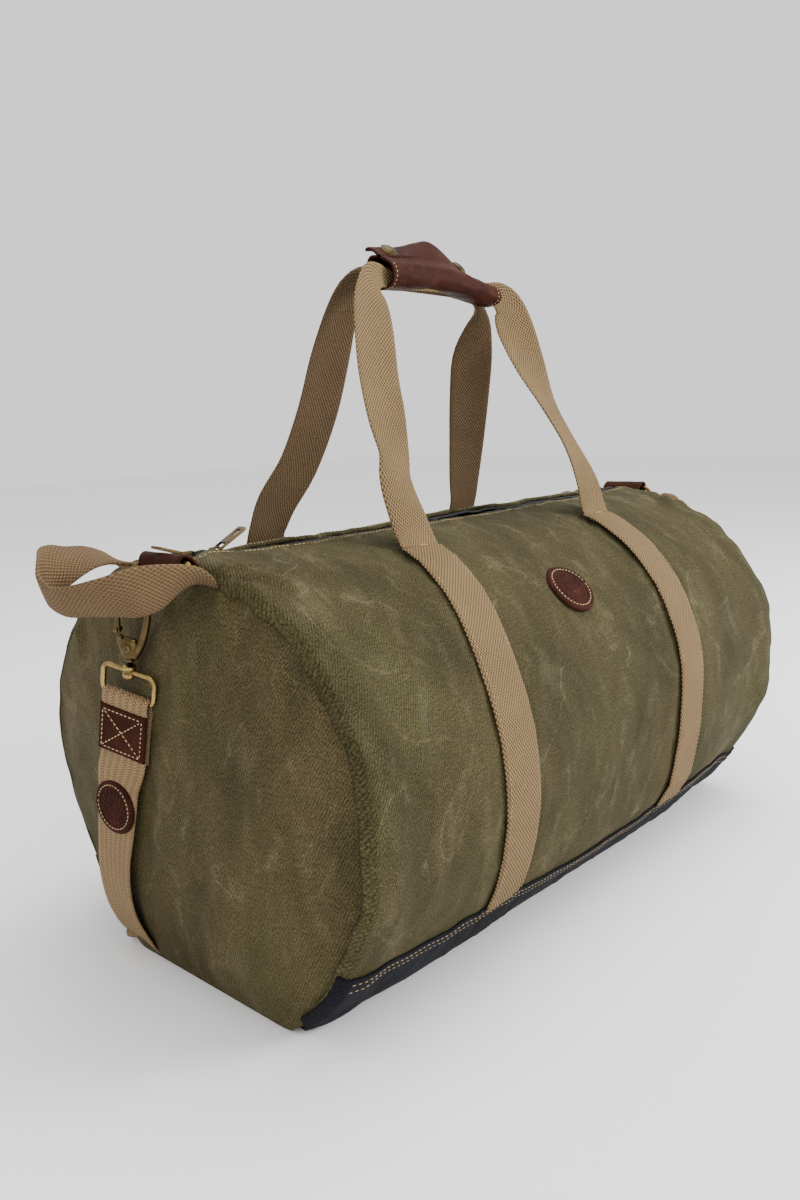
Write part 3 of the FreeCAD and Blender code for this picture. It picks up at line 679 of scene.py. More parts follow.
# Darker copy of the tan webbing for the grab loops: painted shade over their downward-facing bands.
LOOP_WEB_SHADE = woven("tan_loop_webbing_painted_shade", (0.088, 0.053, 0.025), (0.145, 0.092, 0.047), (0.195, 0.132, 0.074))
STRAP_WEB = woven("tan_strap_webbing", (0.13, 0.078, 0.038), (0.265, 0.176, 0.092), (0.38, 0.272, 0.152),
                  chevron=True)
LEATHER = hide("brown_leather", (0.023, 0.0062, 0.0034), (0.041, 0.0122, 0.0068))
LEATHER_DARK = hide("dark_brown_leather", (0.021, 0.0058, 0.0034), (0.038, 0.0112, 0.0066), 0.52)
BRASS = metal("antique_brass", (0.014, 0.010, 0.005), (0.125, 0.085, 0.034), 0.34, 0.30)
# Brighter brass for the frames and rings; its bright edges and patches are partly a painted highlight.
BRASS_BRIGHT = metal("rubbed_brass_painted_glint", (0.055, 0.036, 0.012), (0.34, 0.235, 0.083), 0.26, 0.8)
TAPE = plain("black_zip_tape", (0.012, 0.012, 0.013), 0.8, 0.0004, 900.0)
COIL = plain("black_zip_coil", (0.016, 0.016, 0.017), 0.42)
BINDING = plain("black_binding", (0.02, 0.02, 0.02), 0.85)
BOARD = plain("black_board", (0.02, 0.02, 0.02), 0.6)
THREAD_TAN = plain("tan_thread", (0.36, 0.25, 0.12), 0.7)
THREAD_GOLD = plain("gold_thread", (0.60, 0.35, 0.10), 0.65)
THREAD_CREAM = plain("cream_thread", (0.46, 0.34, 0.18), 0.7)
THREAD_DARK = plain("dark_thread", (0.045, 0.03, 0.02), 0.7)


# ---------------------------------------------------------------- canvas body

def edge_s(x):
    """Distance of the canvas edge from the bag's middle line: open over the zip, closed at its ends."""
    e = SEAM_X - np.abs(np.asarray(x, float))
    return 0.4 + (LIP_S - 0.4) * smooth((e - 2.5) / 5.0)


def canvas_side(side):
    """Front or back of the bag from the zip to just under the base panel's hem, lips included."""
    x = np.linspace(-SEAM_X, SEAM_X, 271)
    x = np.sign(x) * SEAM_X * (1 - (1 - np.abs(x) / SEAM_X) ** 1.12)
    t = np.linspace(0, 1, 165)
    first = edge_s(x)[None, :]
    s = first + (HEM_S + HEM_TUCK - first) * t[:, None]
    xx = np.broadcast_to(x[None, :], s.shape)
    down = s - edge_s(xx)
    hem = 0.9 * (1 - smooth((down - 9) / 1.6)) * smooth((SEAM_X - np.abs(xx) - 6) / 8)
    puff = 0.6 * bump(down - 4.0, 3.0) * noise(xx / 5.5, 0.5, 40 + side)
    outer = skin(xx, s, side, hem + puff * (hem > 0.2))
    inner = skin(xx, s, side, -2.0)
    uv = np.stack([xx, s], -1) * MM
    obj = shell(f"canvas_{SIDES[side]}", outer, inner, OLIVE, uv, turned=side == BACK)
    fix_normals(obj)
    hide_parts(f"{SIDES[side]}_panel", f"lip_{SIDES[side]}")
    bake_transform(obj)
    return obj


def base():
    """Charcoal trough with its wavy hems on both sides."""
    x = np.linspace(-SEAM_X, SEAM_X, 241)
    t = np.linspace(0, 1, 74)
    outer, inner, uv = [], [], []
    for side in (FRONT, BACK):
        first = hem_line(x, side)
        s = first[None, :] + (FLOOR_S - first[None, :]) * t[:, None]
        xx = x[None, :] * (1 - 0.03 * smooth((s - 395) / 30))
        rise = (1.6 + 0.6 * smooth((s - first - 11) / -2)) * (1 - smooth((s - 385) / 25))
        outer.append(skin(xx, s, side, rise))
        under = skin(xx, s, side, rise - 2.0)
        under[..., 2] = np.maximum(under[..., 2], outer[-1][..., 2] + 1.6 * smooth((s - 400) / 20))
        inner.append(under)
        uv.append(np.stack([xx + 40 * side, s], -1) * MM)
    outer, inner, uv = [np.concatenate([front, back[::-1][1:]]) for front, back in (outer, inner, uv)]
    obj = fix_normals(shell("base_charcoal", outer, inner, CHARCOAL, uv))
    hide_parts("base_panel")
    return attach(obj, "root")


END_MIDDLE_Z = 148


def end_rim(end):
    """Rim of the end's cloth, how flush with the body it is, and the distance round from the top."""
    s = np.linspace(0, FLOOR_S, 200)
    low = smooth((s - 375) / 45)
    full = np.maximum(low, smooth((s - 50) / 60))
    front = skin(end * (271.5 + 6 * low), s, FRONT, -3.2 * (1 - low))
    back = skin(end * (271.5 + 6 * full), s, BACK, -3.2 * (1 - full))
    parts = [(front, back), (low, full), (-s, s)]
    return [np.concatenate([a, b[::-1][1:-1]]) for a, b in parts]


def end_rise(yy, zz, rr, sh, low, seed):
    """How far the end stands out past its seam: puff, folds, gathers at the rim and a slanting valley."""
    edge = (1 - sh) * 150
    rise = -6.8 + 6.0 * low[None, :] * sh ** 6 + 23.8 * (1 - sh ** 3.3)
    rise += 1.4 * noise(yy / 62, zz / 85, seed) * (1 - sh ** 4)
    ridge = 1 - 2.2 * np.abs(noise((yy + 0.5 * zz) / 55, (zz - 0.4 * yy) / 130, seed + 1))
    rise += 1.4 * np.clip(ridge, 0, 1) ** 2 * (1 - sh ** 6)
    gather = noise(rr / 14 + 0.5 * noise(rr / 31, edge / 40, 9), edge / 70, seed + 2)
    rise += 2.6 * gather * np.exp(-edge / 34) * smooth(edge / 9)
    top = smooth((zz - 180) / 70)
    fold = 1 - 1.7 * np.abs(noise((yy + 0.35 * (300 - zz)) / 19, zz / 120, seed + 3))
    rise += 3.4 * top * np.clip(fold, -0.4, 1) * np.exp(-edge / 60) * smooth(edge / 9)
    valley = yy - (6 + 0.32 * (205 - zz))
    rise -= 3.6 * bump(valley, 11) * smooth((zz - 45) / 50) * smooth((262 - zz) / 40) * smooth(edge / 20)
    rise += 1.6 * bump(valley + 22, 12) * smooth((zz - 60) / 50) * smooth((250 - zz) / 40) * smooth(edge / 25)
    return np.minimum(rise, 18.4)


def disc_faces(rows, cols):
    """Faces of two sheets of rings with a middle point each, joined round the rim."""
    n = rows * cols
    faces = quads(rows, cols, close_cols=True) + quads(rows, cols, close_cols=True, start=n + 1, turned=True)
    inmost = n - cols
    for c in range(cols):
        d = (c + 1) % cols
        faces.append((inmost + c, inmost + d, n))
        faces.append((inmost + d + n + 1, inmost + c + n + 1, 2 * n + 1))
        faces.append((d, c, c + n + 1, d + n + 1))
    return faces


def end_face(end):
    """Puffed end of the bag, set back behind the rolled edge of the body and gathered round its seam."""
    rim, low, run = end_rim(end)
    share = 1 - (1 - np.linspace(1, 0.0, 54)[:-1]) ** 1.3
    yy = rim[None, :, 1] * share[:, None]
    zz = END_MIDDLE_Z + (rim[None, :, 2] - END_MIDDLE_Z) * share[:, None]
    sh = np.broadcast_to(share[:, None], yy.shape)
    rr = np.broadcast_to(run[None, :], yy.shape)
    rise = end_rise(yy, zz, rr, sh, low, 80 + 7 * end)
    points = np.stack([end * (SEAM_X + rise), yy, zz], -1).reshape(-1, 3)
    middle = np.array([[end * (SEAM_X + float(rise[-1].mean())), 0, END_MIDDLE_Z]])
    inward = np.array([end * 2.0, 0, 0])
    verts = np.concatenate([points, middle, points - inward, middle - inward])
    faces = disc_faces(*yy.shape)
    obj = fix_normals(make(f"canvas_end_{ENDS[end]}", verts, faces, OLIVE_END, verts[:, 1:] * MM))
    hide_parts(f"end_panel_{ENDS[end]}", f"zip_end_patch_{ENDS[end]}")
    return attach(obj, "root")


def binding(end):
    """Tape over the turned-in seam allowance, inside the bag."""
    x = end * np.linspace(266.0, 270.5, 4)
    s = np.linspace(4, FLOOR_S - 1, 230)
    both = []
    for side in (FRONT, BACK):
        ss, xx = np.meshgrid(s, x, indexing="ij")
        y, z, ny, nz = rounded(xx, ss)
        d = -7.0 - 0.7 * noise(ss / 9, xx / 3, 12)
        layers = [np.stack([xx, side * (y + ny * q), z + nz * q], -1) for q in (d, d - 0.9)]
        both.append(fix_normals(shell(f"b{side}", *layers, BINDING, np.stack([xx, ss], -1) * MM)))
    obj = join(f"binding_{ENDS[end]}", both)
    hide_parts(f"seam_binding_{ENDS[end]}")
    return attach(obj, "root")


# ---------------------------------------------------------------- zip

def mouth_blend(obj):
    """Bakes a piece beside the zip into place, as it lies."""
    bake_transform(obj)


def zip_tape(side):
    """Woven tape of one half of the zip."""
    x = np.linspace(-264, 264, 265)
    s = np.linspace(3.3, 24, 10)
    ss, xx = np.meshgrid(s, x, indexing="ij")
    lift = -2.6 + 0.25 * noise(xx / 9, ss / 8, 21)
    layers = [skin(xx, ss, side, lift), skin(xx, ss, side, lift - 0.7)]
    uv = np.stack([xx, ss], -1) * MM
    tape = fix_normals(shell(f"zip_tape_cloth_{SIDES[side]}", *layers, TAPE, uv, turned=side == BACK))
    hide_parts(f"zip_tape_{SIDES[side]}")
    mouth_blend(tape)


def zip_coil(side):
    """Row of coil turns along one half of the zip, staggered against the other half."""
    verts, faces = [], []
    form = [(-0.2, -0.75), (0.75, -0.95), (2.4, -0.8), (2.9, 0.0), (2.4, 0.8), (0.75, 0.95), (-0.2, 0.75)]
    m = len(form)
    stagger = 0.6 if side == BACK else 0.0
    for at in np.arange(-262 + stagger, 262, 1.7):
        level = TOP_Z + float(swell(at, 2.0, side)) - 2.4
        start = len(verts)
        for dx in (-0.42, 0.42):
            for dy, dz in form:
                verts.append((at + dx, side * (0.5 + dy), level + dz))
        around = [(start + i, start + (i + 1) % m) for i in range(m)]
        faces += [(a, b, b + m, a + m) for a, b in around]
        faces += [tuple(start + i for i in reversed(range(m))), tuple(start + m + i for i in range(m))]
    coil = fix_normals(make(f"zip_teeth_{SIDES[side]}", verts, faces, COIL))
    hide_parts(f"zip_coil_{SIDES[side]}")
    mouth_blend(coil)


def row_on_skin(x, s, side, lift):
    """Stitch row along the canvas."""
    x, s = np.broadcast_arrays(np.asarray(x, float), np.asarray(s, float))
    return skin(x, s, side, lift), skin_normal(x, s, side)


def lip_stitches(side):
    """Stitch row along the canvas edge beside the zip."""
    x = np.linspace(-271, 271, 400)
    rows = [row_on_skin(x, edge_s(x) + 5.0, side, 0.95)]
    obj = stitches(f"zip_stitching_{SIDES[side]}", rows, THREAD_TAN, radius=0.32)
    mouth_blend(obj)


def hem_stitches():
    """Two stitch rows along the base panel's hem on each side."""
    rows = []
    for side in (FRONT, BACK):
        x = np.linspace(-273, 273, 400)
        first = hem_line(x, side)
        for down in (3.2, 8.6):
            rows.append(row_on_skin(x, first + down, side, 1.7 + 0.5 * smooth((down - 10) / -2)))
    obj = stitches("hem_stitching", rows, THREAD_TAN, length=2.9, pitch=4.3, radius=0.32)
    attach(obj, "root")


for side in SIDES:
    canvas_side(side)
    zip_tape(side)
    zip_coil(side)
    lip_stitches(side)
base()
hem_stitches()
for end in ENDS:
    end_face(end)
    binding(end)


# ---------------------------------------------------------------- handles

# Free part of each handle, left to right: point, width direction, width, and how far it bows
HANDLE_FREE = {
    (FRONT, LEFT): [
        ((-112, -60, 302), (1, 0, 0.05), 38, 0.8),
        ((-117, -56, 320), (1, 0.05, 0.12), 37, -1.5),
        ((-118, -50, 340), (1, 0.12, 0.12), 36, -3.0),
        ((-114, -46, 359), (1, 0.12, 0), 36, 0.5),
        ((-115, -41, 385), (1, -0.10, -0.1), 37, 2.0),
        ((-113, -33, 415), (1, -0.15, -0.15), 37, 2.2),
        ((-107, -25, 445), (1, -0.15, -0.1), 36, 2.6),
        ((-100, -17, 468), (1, -0.15, -0.35), 33, 3.2),
        ((-90, -9.5, 484), (0.75, 0, -0.75), 26, 2.6),
        ((-76, -4, 488.5), (0.2, 0, -1), 18, 1.2),
        ((-54, -0.5, 487), (0, 0, -1), 13, 0.5),
    ],
    (FRONT, RIGHT): [
        ((38, -0.5, 487), (0, 0, 1), 13, 0.5),
        ((56, -1.5, 485.5), (0.15, 0, 1), 13, 1.0),
        ((71, -4.5, 482), (0.5, -0.1, 1), 23, 2.0),
        ((80, -9, 472), (1, -0.3, 0.55), 31, 3.0),
        ((80, -15, 454), (1, -0.5, 0.15), 36, 3.0),
        ((83, -27, 424), (1, -0.25, 0), 36, 2.4),
        ((91, -40, 390), (0.95, 0.20, 0), 36, 1.6),
        ((105, -52, 356), (0.95, 0.30, 0), 37, 0.6),
        ((120, -59, 323), (1, 0.12, 0), 38, 1.0),
        ((127, -61, 302), (1, 0, 0), 38, 0.8),
    ],
    (BACK, LEFT): [
        ((-148, 60, 302), (1, 0, 0), 38, 0.8),
        ((-141, 55, 322), (1, -0.1, 0), 38, 1.5),
        ((-124, 46, 350), (1, -0.15, 0), 37, 2.0),
        ((-111, 35, 390), (1, -0.18, 0), 37, 2.5),
        ((-103, 26, 430), (1, -0.15, -0.1), 36, 2.5),
        ((-97, 17, 462), (1, 0.0, -0.3), 32, 2.5),
        ((-88, 11.5, 480), (0.75, 0, -0.75), 26, 2.0),
        ((-74, 9.5, 488), (0.2, 0, -1), 20, 1.0),
        ((-54, 9, 490), (0, 0, -1), 18, 0.5),
    ],
    (BACK, RIGHT): [
        ((40, 9, 487), (0, 0, 1), 17, 0.5),
        ((54, 9.5, 484), (0.2, 0, 1), 18, 0.8),
        ((64, 12, 475), (0.7, 0.3, 0.7), 22, 1.2),
        ((69, 17, 458), (0.9, -0.3, 0.25), 29, 1.6),
        ((71, 26, 432), (0.85, -0.65, 0.1), 37, 2.4),
        ((78, 36, 400), (0.9, -0.55, 0), 38, 1.8),
        ((86, 47, 360), (1, -0.35, 0), 38, 1.5),
        ((92, 56, 325), (1, -0.15, 0), 38, 1.2),
        ((94, 60, 302), (1, 0, 0), 38, 0.8),
    ],
}


def handle_stations(side):
    """Stations of one handle from hem to hem, up over the wrap."""
    out = []
    for end in (LEFT, RIGHT):
        s = np.arange(HEM_S + 4, ROOT_S - 1, -4.0)
        sewn = [(p, (1, 0, 0), 38.0, 0.0) for p in skin(strap_x(side, end, s), s, side, SEWN_LIFT)]
        out += sewn + HANDLE_FREE[side, end] if end == LEFT else HANDLE_FREE[side, end] + sewn[::-1]
    return out


def handle(side):
    """One webbing handle: sewn down, free, and folded inside the wrap."""
    packed = pack(handle_stations(side), 4)
    sway = 0.6 * noise(np.arange(len(packed)) / 11, 0.2, 90 + side)
    packed[:, 0] += sway * (packed[:, 2] > 305) * (packed[:, 2] < 480)
    name = SIDES[side]
    # The inner face of each handle takes the darker webbing copy, which is painted shade.
    obj = webbing(f"handle_webbing_{name}", packed, HANDLE_THICK, WEB, inner=WEB_INNER_SHADE,
                  inner_shade_first=side == FRONT)
    nodes = [f"handle_{kind}_{name}_{end}" for kind in ("strap", "leg") for end in ("left", "right")]
    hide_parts(f"handle_grip_{name}", *nodes)
    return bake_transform(obj)


def handle_stitches():
    """Bright bar rows at the roots and fine rows along both edges of the sewn webbing."""
    gold, edges = [], []
    for side, end in STRAP_LINE:
        s = np.linspace(ROOT_S + 3, HEM_S - 2, 260)
        for off in (-16.2, 16.2):
            edges.append(row_on_skin(strap_x(side, end, s) + off, s, side, 3.0))
        for down in (0.5, 4.0):
            across = np.linspace(-17.0, 17.0, 30)
            at = ROOT_S + down + 0 * across
            gold.append(row_on_skin(strap_x(side, end, at) + across, at, side, 3.05))
    obj = stitches("handle_root_stitching", gold, THREAD_GOLD, length=2.4, pitch=3.1, radius=0.42)
    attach(obj, "root")
    obj = stitches("handle_edge_stitching", edges, THREAD_TAN, length=2.6, pitch=3.9, radius=0.3,
                   sink=0.12)
    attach(obj, "root")


for side in SIDES:
    handle(side)
handle_stitches()


# ---------------------------------------------------------------- leather wrap

# Section of the leather, round under the grips and over the top, as y and z
LEATHER_PATH = [
    (-1.2, 503.4), (7, 503.8), (12, 503.0), (15.4, 499), (16, 492), (15, 485), (11, 481.0), (3.5, 479.8),
    (-5, 480.0), (-11.8, 481.8), (-15.4, 487), (-16, 493), (-15, 499.5), (-11.8, 504.2), (-6, 506.6),
    (1, 507.2), (9, 507.4), (14.6, 507.0), (18.6, 505.4),
]
HALF_HIDE = 0.95            # half the leather's thickness
WRAP_SHIFT = (-8.0, 4.0)
WRAP_X = (-59.0, 75.0)
WRAP_LOW_Z = 480
WRAP_SEAMS = (-55.5, 71.5)  # stitch rows near the two ends
SNAP_X = (-42.0, 44.0)
CAP_SHARE, STUD_SHARE = 0.900, 0.07
# Profiles of the snaps as (radius, height)
CAP = [(0.1, 2.7), (2.0, 2.6), (4.0, 2.2), (5.6, 1.5), (6.6, 0.7), (7.1, 0.5), (7.3, 0.15), (7.1, -0.2),
       (0.1, -0.3)]
STUD = [(0.1, 1.9), (1.9, 1.8), (2.3, 1.2), (2.1, 0.6), (4.8, 0.5), (5.2, 0.2), (5.0, -0.1), (0.1, -0.2)]


def wrap_section():
    """Evenly spaced shares of the leather's path, with its points, normals and length."""
    path = catmull(LEATHER_PATH, 5)
    run = flat_run_length(path)
    even = np.linspace(0, 1, 110)
    py, pz = [np.interp(even, run / run[-1], path[:, i]) for i in (0, 1)]
    py = 0.82 * py
    dy, dz = np.gradient(py), np.gradient(pz)
    long = np.hypot(dy, dz)
    return even, py, pz, -dz / long, dy / long, run[-1]


WRAP_SECTION = wrap_section()


def wrap_lift(x, share):
    """How far the leather bows along the bag at x, and how far its flap rises at share."""
    peak = 9.0 * bump(x - 14, 26) * smooth((share - 0.78) / 0.2)
    corner = (4.5 - 1.5 * smooth(x / 60)) * smooth((share - 0.79) / 0.19)
    bow = 5.0 * np.cos(x / 75 * math.pi / 2) - 2.6 - 2.5 * x / 75
    return bow, peak + corner


def wrap_taper(x, share):
    """Share of the section's height: low at the right end, and along the sleeve's front top edge."""
    front = smooth((share - 0.45) / 0.19) * (1 - smooth((share - 0.73) / 0.25))
    return (1 - 0.34 * smooth((np.asarray(x, float) - 5) / 72)) * (1 - 0.29 * front)


def wrap_creases(x, share):
    """Small creases of the leather and the pinch where the flap turns over."""
    crease = 0.8 * noise((x + 14 * share) / 24, share * 9, 31) + 0.5 * noise(x / 9, share * 14, 32)
    pinch = -1.6 * bump(x + 6 - 40 * (share - 0.7), 11) * bump(share - 0.66, 0.10)
    return (crease + pinch) * smooth(share / 0.1)


def wrap_points(x, share, section, off, trim=1.0):
    """Points off the leather's middle along its normals; section holds y, z and the normals."""
    py, pz, ny, nz = section
    bow, rise = wrap_lift(x, share)
    y = py * trim + ny * off
    z = WRAP_LOW_Z + (pz - WRAP_LOW_Z) * wrap_taper(x, share) + nz * off + bow + rise
    return np.stack([x + WRAP_SHIFT[0], y + WRAP_SHIFT[1], z], -1)


def leather_wrap():
    """Sleeve and flap in one hide: round under both grips, up the front and over the top."""
    even, *section, length = WRAP_SECTION
    xx, sh = np.meshgrid(np.linspace(*WRAP_X, 90), even, indexing="xy")
    section = [a[:, None] for a in section]
    trim = 1 - 0.05 * bump(np.abs(xx) - 75, 8) * smooth((sh - 0.9) / 0.1)
    d = wrap_creases(xx, sh)
    layers = [wrap_points(xx, sh, section, d + half, trim) for half in (HALF_HIDE, -HALF_HIDE)]
    obj = fix_normals(shell("leather_wrap", *layers, LEATHER, np.stack([xx, sh * length], -1) * MM))
    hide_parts("wrap_base", "wrap_flap")
    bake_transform(obj)


def on_leather(x, share, lift=HALF_HIDE):
    """Point and normal on the outside of the leather."""
    share = np.asarray(share, float)
    x = np.broadcast_to(np.asarray(x, float), share.shape)
    even, *section, _ = WRAP_SECTION
    section = [np.interp(share, even, a) for a in section]
    spot = wrap_points(x, share, section, wrap_creases(x, share) + lift)
    ny, nz = section[2:]
    return spot, np.stack([0 * ny, ny, nz], -1)


def wrap_stitches():
    """Rows near both ends of the sleeve, and round the three free edges of the flap."""
    rows = [on_leather(x, np.linspace(0.16, 0.74, 200)) for x in WRAP_SEAMS]
    obj = stitches("wrap_end_stitching", rows, THREAD_CREAM, length=2.2, pitch=3.4, radius=0.34)
    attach(obj, "handles")
    rows = [on_leather(x, np.linspace(0.815, 0.97, 60)) for x in WRAP_SEAMS]
    rows.append(on_leather(np.linspace(-55, 71, 200), np.full(200, 0.972)))
    obj = stitches("wrap_flap_stitching", rows, THREAD_DARK, length=2.2, pitch=3.4, radius=0.4)
    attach(obj, "wrap_flap")


def snap_cap(x):
    """Domed cap on the flap, square to the leather as it lies there."""
    q = on_leather(x + 3, CAP_SHARE)[0] - on_leather(x - 3, CAP_SHARE)[0]
    r = on_leather(x, CAP_SHARE + 0.02)[0] - on_leather(x, CAP_SHARE - 0.02)[0]
    normal = np.cross(unit(q), unit(r))
    normal = normal if normal[2] > 0 else -normal
    return lathe("cap", CAP, on_leather(x, CAP_SHARE)[0], normal, BRASS)


def snaps():
    """Two domed caps on the flap, and the two studs under it that they close on."""
    obj = join("snap_domes", [snap_cap(x) for x in SNAP_X])
    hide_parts("snap_caps")
    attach(obj, "wrap_flap")
    obj = join("snap_stud_pair", [lathe("stud", STUD, *on_leather(x, STUD_SHARE), BRASS) for x in SNAP_X])
    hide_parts("snap_studs")
    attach(obj, "handles")


leather_wrap()
wrap_stitches()
snaps()


# ---------------------------------------------------------------- badges

def badge_height(r, turn, radius):
    """Height of the embossed leather at r from the middle: edge, stitch groove, ring and a flower."""
    q = r / radius
    h = 2.4 * np.sqrt(np.clip(1 - np.clip((q - 0.86) / 0.14, 0, 1) ** 2, 0, 1))
    h = h - 0.45 * bump(q - 0.80, 0.035)
    h = h - 0.55 * bump(q - 0.66, 0.03) - 0.3 * bump(q - 0.36, 0.025)
    dots = np.cos(turn * 16) * bump(q - 0.51, 0.075)
    petals = np.clip(np.cos(turn * 6), 0, 1) * bump(q - 0.2, 0.12)
    return h + 0.35 * dots + 0.5 * petals


def badge(name, surface, radius):
    """Leather roundel; surface gives the point and normal at (a, b) from its middle."""
    rings = np.concatenate([np.linspace(0.02, 0.86, 50), np.linspace(0.875, 1.0, 9)]) * radius
    turns = np.arange(128) * 2 * math.pi / 128
    r, t = np.meshgrid(rings, turns, indexing="ij")
    p, n = surface(r * np.cos(t), r * np.sin(t))
    h = badge_height(r, t, radius)
    top = p + n * h[..., None]
    low = p[-1] - n[-1] * 0.2
    verts = np.concatenate([top.reshape(-1, 3), low])
    rows = len(rings) + 1
    faces = quads(rows, len(turns), close_cols=True) + end_caps(rows, len(turns))
    uv = np.concatenate([np.stack([r * np.cos(t), r * np.sin(t)], -1).reshape(-1, 2),
                         np.stack([radius * np.cos(turns), radius * np.sin(turns)], -1)]) * MM
    obj = fix_normals(make(name, verts, faces, LEATHER_DARK, uv))
    ring = np.linspace(0, 2 * math.pi, 200)
    seam = radius * 0.80
    q, m = surface(seam * np.cos(ring), seam * np.sin(ring))
    thread = stitches(f"{name}_stitching", [(q + m * 2.25, m)], THREAD_CREAM, length=2.0, pitch=3.0,
                      radius=0.36)
    return obj, thread


def front_badge():
    """Roundel on the front, following the canvas under its middle."""
    x0, s0 = -7.0, 138.5

    def surface(a, b):
        y, z, ny, nz = outline(s0 + b)
        d = float(swell(x0, s0, FRONT)) + 0.6
        p = np.stack([x0 + a, -(y + ny * d), z + nz * d], -1)
        return p, np.stack([0 * ny, -ny, nz], -1)

    obj, thread = badge("front_roundel", surface, 22.5)
    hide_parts("badge_front")
    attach(obj, "root")
    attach(thread, "root")


front_badge()


# ---------------------------------------------------------------- ends: tab, ring, grab loop

def leather_strip(name, path, width_at, thick, material):
    """Leather strip with its section drawn in XZ and its width along Y."""
    path = catmull(path, 6)
    tangent = unit(np.gradient(path, axis=0))
    normal = np.stack([-tangent[:, 1], tangent[:, 0]], -1)
    run = flat_run_length(path)
    t = np.linspace(0, 1, 26)
    grids = []
    for half in (thick / 2, -thick / 2):
        low, high = width_at(run / run[-1])
        y = low[:, None] + (high - low)[:, None] * t[None, :]
        wob = 0.25 * noise(y / 8, run[:, None] / 7, 7)
        x = path[:, :1] + normal[:, :1] * (half + wob)
        z = path[:, 1:] + normal[:, 1:] * (half + wob)
        grids.append(np.stack([x, y, z], -1))
    uv = np.stack(np.broadcast_arrays(run[:, None], t[None, :] * 40), -1) * MM
    return fix_normals(shell(name, *grids, material, uv))


def flip_x(obj, end):
    """Pieces are drawn at the left end; this turns one into its mirror at the right end."""
    if end == RIGHT:
        co = np.array([v.co for v in obj.data.vertices])
        co[:, 0] *= -1
        obj.data.vertices.foreach_set("co", co.astype(np.float32).ravel())
        obj.data.flip_normals()
    return obj


def ring_tab(end):
    """Leather folded round the ring's straight side and sewn into the seam."""
    turns = np.radians([90, 45, 0, -45, -90, -130])
    around = [(-286 - 5.1 * math.cos(a), 300 + 5.1 * math.sin(a)) for a in turns]
    path = [(-273, 296.5), (-277, 298.6), (-280.5, 302.5)] + around + [(-279.6, 297.2), (-274, 295.4)]

    def width(q):
        bulge = 1.2 * np.sin(q * math.pi) * 0.4
        return -24.3 - bulge, 17.2 + bulge

    obj = flip_x(leather_strip(f"ring_leather_{ENDS[end]}", path, width, 1.9, LEATHER), end)
    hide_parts(f"ring_tab_{ENDS[end]}")
    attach(obj, "root")


PIVOT = np.array([-280.5, 0.0, 295.0])      # on the line that the left loop folds about
FAR_BEND_X = -400.0                         # an x that is past the bend, so it turns in full


def droop(points, x, angle=31.0):
    """Points turned down about the loop's fold line, by less close to the seam."""
    turn = math.radians(angle) * smooth((-x - 279) / 16)
    cos, sin = np.cos(turn), np.sin(turn)
    dx, dy, dz = (points - PIVOT).T
    return PIVOT + np.stack([dx * cos - dz * sin, dy, dx * sin + dz * cos], -1)


# Left grab loop: point, width direction, width, and how far it bows
LOOP_STATIONS = [
    ((-268, -31, 288.0), (0.0, 1, 0.30), 22, 0),
    ((-280, -34, 290.0), (0.05, 1, 0.22), 25, 0.5),
    ((-291, -38, 292.0), (0.2, 1, -0.35), 27, 1.5),
    ((-304, -42, 293.0), (0.15, 0.62, -0.78), 28, 2.0),
    ((-318, -43, 292.0), (0.1, 0.32, -0.94), 31, 1.4),
    ((-332, -39, 291.0), (0.1, 0.20, -0.97), 32, 0.8),
    ((-343, -30, 289.0), (0.32, 0.42, -0.85), 31, 0.6),
    ((-350, -14, 286.5), (0.38, 0.60, -0.70), 29, 0.5),
    ((-355, 6, 285.0), (0.42, 0.66, -0.62), 28, 0.5),
    ((-355.5, 22, 290.5), (0.46, 0.48, -0.75), 28, 0.6),
    ((-348, 33, 297.5), (0.2, 0.05, -0.97), 29, 0.6),
    ((-335, 39, 303.0), (0, -0.6, -0.78), 30, 0.6),
    ((-320, 42.5, 304.5), (0, -0.9, -0.42), 31, 0.8),
    ((-306, 44, 304.0), (0, -0.95, -0.3), 31, 1.0),
    ((-294, 43, 300.0), (0, -1, -0.2), 29, 1.0),
    ((-283, 42, 294.5), (0, -1, 0.1), 28, 0.5),
    ((-271, 41, 290.0), (0, -1, 0.3), 27, 0),
]


def grab_loop(end):
    """Webbing loop: flat where the seam holds it, upright where the hand takes it."""
    packed = pack(LOOP_STATIONS, 6)
    if end == RIGHT:
        packed[:, :3] = droop(packed[:, :3], packed[:, 0])
        packed[:, 3:6] = droop(packed[:, 3:6] + PIVOT, np.full(len(packed), FAR_BEND_X)) - PIVOT
    # The loop's webbing is a darker copy of the tan webbing, which is painted shade.
    obj = flip_x(webbing(f"grab_webbing_{ENDS[end]}", packed, LOOP_THICK, LOOP_WEB_SHADE), end)
    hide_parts(f"grab_loop_{ENDS[end]}")
    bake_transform(obj)


for end in ENDS:
    ring_tab(end)
    grab_loop(end)


# ---------------------------------------------------------------- hooks and strap frames

HANG = np.array([-301.5, 9.5, 288.6])       # where the hook hangs on the left ring's wire
TILT = math.radians(14.5)                   # lean of the hanging strap towards the back
TURN = math.radians(18.0)                   # turn of the hook and strap about their own length


def hung(points, end=LEFT):
    """Points drawn in the hanging frame (x out, y towards the back, z up from the ring's wire)."""
    p = np.asarray(points, float)
    x = p[..., 0] * math.cos(TURN) - p[..., 1] * math.sin(TURN)
    y1 = p[..., 0] * math.sin(TURN) + p[..., 1] * math.cos(TURN)
    y = y1 * math.cos(TILT) - p[..., 2] * math.sin(TILT)
    z = y1 * math.sin(TILT) + p[..., 2] * math.cos(TILT)
    out = np.stack([x, y, z], -1) + HANG
    if end == RIGHT:
        out[..., 0] *= -1
    return out


